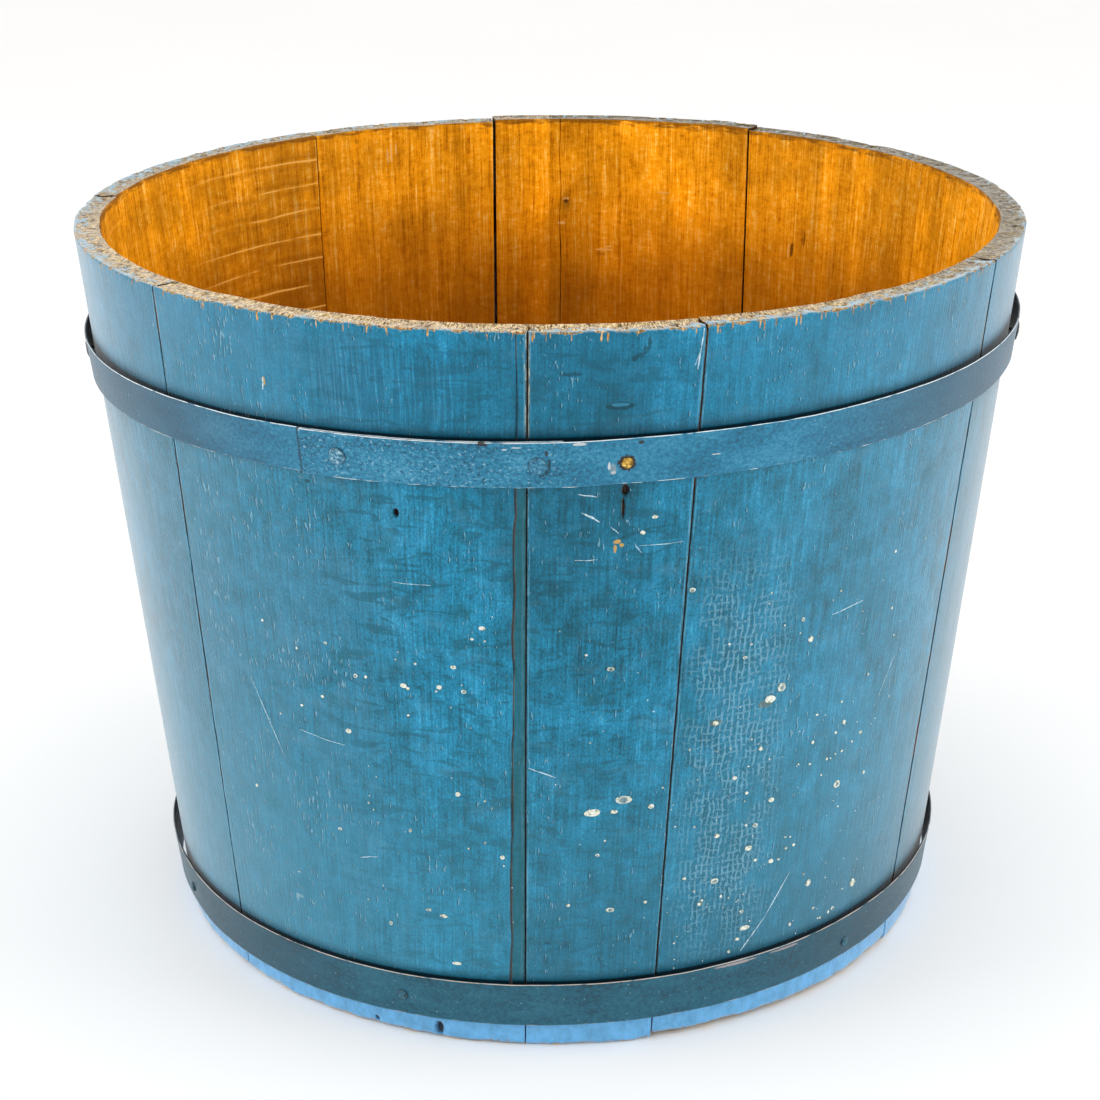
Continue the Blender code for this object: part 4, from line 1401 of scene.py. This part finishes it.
def scattered_splashes():
    """Small splashes at seeded random places in each zone."""
    random = np.random.default_rng(12)
    found = []
    for zone in SPLASH_ZONES:
        for _ in range(zone.count):
            size = 0.28 + 0.75 * random.random() ** 3
            found.append(
                Splash(
                    random.uniform(zone.start, zone.end),
                    random.uniform(zone.low, zone.high),
                    size * random.uniform(0.8, 1.3),
                    size * random.uniform(0.8, 1.2),
                )
            )
    return found


# --- head ---------------------------------------------------------------------------


def head_material():
    """Bare pine boards with the grain running along them."""
    shader = Shader("head_pine")
    inputs = {"Vector": shader.object_place(), "Angle": math.radians(-HEAD_TURN)}
    turned = shader.made("VectorRotate", 0, inputs, rotation_type="Z_AXIS")
    colour, relief = pine_colour(turned)
    dust = turned.noise((0.03, 0.05, 0.03), 3.0, 0.6, 61.0)
    colour = colour.mix(dust.step(0.35, 0.75, 0.22, 0.44), (0.16, 0.085, 0.022))
    return shader.finish(colour, relief.step(0.3, 0.7, 0.5, 0.7), relief.bump(0.0004))


def keep_node(name, material):
    """A CAD node whose shape is right, in a better material."""
    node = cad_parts[name]
    node.data.materials.clear()
    node.data.materials.append(material)


# --- studio -------------------------------------------------------------------------

CAMERA_PLACE = Vector((-0.0006, -0.9597, 0.5211))
CAMERA_AIM = Vector((-0.0006, 0.0, 0.1480))
CAMERA_ROLL = -0.2628
CAMERA_LENS = 75.845


def make_camera():
    camera = bpy.data.cameras.new("camera")
    camera.lens = CAMERA_LENS
    camera.sensor_width = 36.0
    obj = bpy.data.objects.new("camera", camera)
    bpy.context.scene.collection.objects.link(obj)
    turn = (CAMERA_AIM - CAMERA_PLACE).to_track_quat("-Z", "Y").to_matrix().to_4x4()
    roll = Matrix.Rotation(math.radians(CAMERA_ROLL), 4, "Z")
    obj.matrix_world = Matrix.Translation(CAMERA_PLACE) @ turn @ roll
    bpy.context.scene.camera = obj


def soft_light(name, place, aim, size, power):
    light = bpy.data.lights.new(name, "AREA")
    light.shape = "SQUARE"
    light.size = size
    light.energy = power
    obj = bpy.data.objects.new(name, light)
    bpy.context.scene.collection.objects.link(obj)
    obj.location = place
    obj.rotation_euler = (Vector(aim) - Vector(place)).to_track_quat("-Z", "Y").to_euler()


def make_floor():
    half = 6.0
    corners = [(-half, -half, 0.0), (half, -half, 0.0), (half, half, 0.0), (-half, half, 0.0)]
    mesh = bpy.data.meshes.new("floor")
    mesh.from_pydata(corners, [], [(0, 1, 2, 3)])
    floor = bpy.data.objects.new("floor", mesh)
    bpy.context.scene.collection.objects.link(floor)
    shader = Shader("floor_paper")
    paper = shader.object_place().noise((0.4, 0.4, 0.4), 2.0)
    colour = paper.colours((0.3, (0.955, 0.942, 0.93)), (0.7, (0.97, 0.957, 0.945)))
    mesh.materials.append(shader.finish(colour, 0.9, paper.bump(1e-05)))


def make_studio():
    scene = bpy.context.scene
    scene.view_settings.view_transform = "Standard"
    world = bpy.data.worlds.new("studio")
    world.use_nodes = True
    world.node_tree.nodes["Background"].inputs["Color"].default_value = (1.0, 1.0, 1.0, 1.0)
    world.node_tree.nodes["Background"].inputs["Strength"].default_value = 1.0
    scene.world = world
    soft_light("left_light", (-1.5, -0.3, 0.9), (0, 0, 0.15), 1.2, 10.0)
    soft_light("right_light", (1.5, -0.3, 0.9), (0, 0, 0.15), 1.2, 10.0)
    make_floor()


# --- the whole scene ----------------------------------------------------------------


# The paint of each hoop: its spots, its colours from dark to light, the metal where it's
# worn, and its darker colour away from the front, a painted shade
HOOP_PAINTS = {
    "top_hoop": (
        TOP_HOOP_SPOTS,
        ((0.003, 0.075, 0.140), (0.008, 0.170, 0.300), (0.070, 0.310, 0.470)),
        (0.82, 0.86, 0.86),
        (0.014, 0.042, 0.068),
    ),
    "bottom_hoop": (
        BOTTOM_HOOP_SPOTS,
        ((0.004, 0.035, 0.055), (0.006, 0.092, 0.145), (0.026, 0.150, 0.220)),
        (0.62, 0.50, 0.42),
        (0.020, 0.060, 0.085),
    ),
}

# Materials of rivets and nails: colours from dark to light, and how metallic
IRONS = {
    "painted_rivet": ((0.003, 0.050, 0.085), (0.008, 0.160, 0.285), (0.11, 0.33, 0.47), 0.0),
    # The outer rivet's light flecks are a painted highlight on its hammered head.
    "rubbed_rivet": ((0.002, 0.030, 0.050), (0.012, 0.180, 0.300), (0.42, 0.62, 0.72), 0.0),
    "painted_nail": ((0.002, 0.020, 0.030), (0.005, 0.080, 0.125), (0.04, 0.19, 0.28), 0.0),
    "dark_nail": ((0.004, 0.004, 0.005), (0.010, 0.011, 0.013), (0.05, 0.05, 0.05), 0.5),
    "worn_brass": ((0.050, 0.025, 0.006), (0.52, 0.30, 0.05), (0.90, 0.65, 0.18), 0.8),
}


def iron_of(name):
    """Which material a rivet or nail is made of."""
    if name.endswith("rivet_outer"):
        return "rubbed_rivet"
    if "rivet" in name:
        return "painted_rivet"
    return "painted_nail" if name.startswith("bottom_hoop_nail") else "dark_nail"


def build_fasteners():
    irons = {name: fastener_material(name, *iron) for name, iron in IRONS.items()}
    for name in sorted(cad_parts):
        if "tack" in name:
            build_fastener(name, irons["worn_brass"], hammered=0.35)
        elif "rivet" in name or "nail" in name:
            build_fastener(name, irons[iron_of(name)])


def build_all_marks():
    cream = cream_paint_material(
        "cream_splash", (0.82, 0.84, 0.76), (0.58, 0.62, 0.50), (0.16, 0.18, 0.11)
    )
    pale = cream_paint_material(
        "pale_scratch", (0.62, 0.78, 0.84), (0.40, 0.60, 0.70), (0.22, 0.42, 0.52)
    )
    splashes = enumerate([*SPLASHES, *scattered_splashes()])
    drops = [splash_points(splash, seed) for seed, splash in splashes]
    slivers = [scratch_points(scratch, seed) for seed, scratch in enumerate(SCRATCHES, 5)]
    build_marks("paint_splashes", drops, cream, worn_through=True)
    build_marks("pale_scratches", slivers, pale, worn_through=False)


def main():
    make_camera()
    make_studio()

    stave_materials = [stave_material(), inside_material()]
    for number in range(10):
        build_stave(number, stave_materials)

    paints = []
    for hoop in HOOPS:
        spots, stops, wear, shaded_side_colour = HOOP_PAINTS[hoop.name]
        name = hoop.name + "_paint"
        paints.append(hoop_material(name, hoop.outer_end, spots, *stops, wear, shaded_side_colour))
    for hoop, paint in zip(HOOPS, paints):
        build_hoop(hoop, paint)

    build_fasteners()
    build_all_marks()

    boards = head_material()
    for name in sorted(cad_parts):
        if name.startswith("head_"):
            keep_node(name, boards)


main()
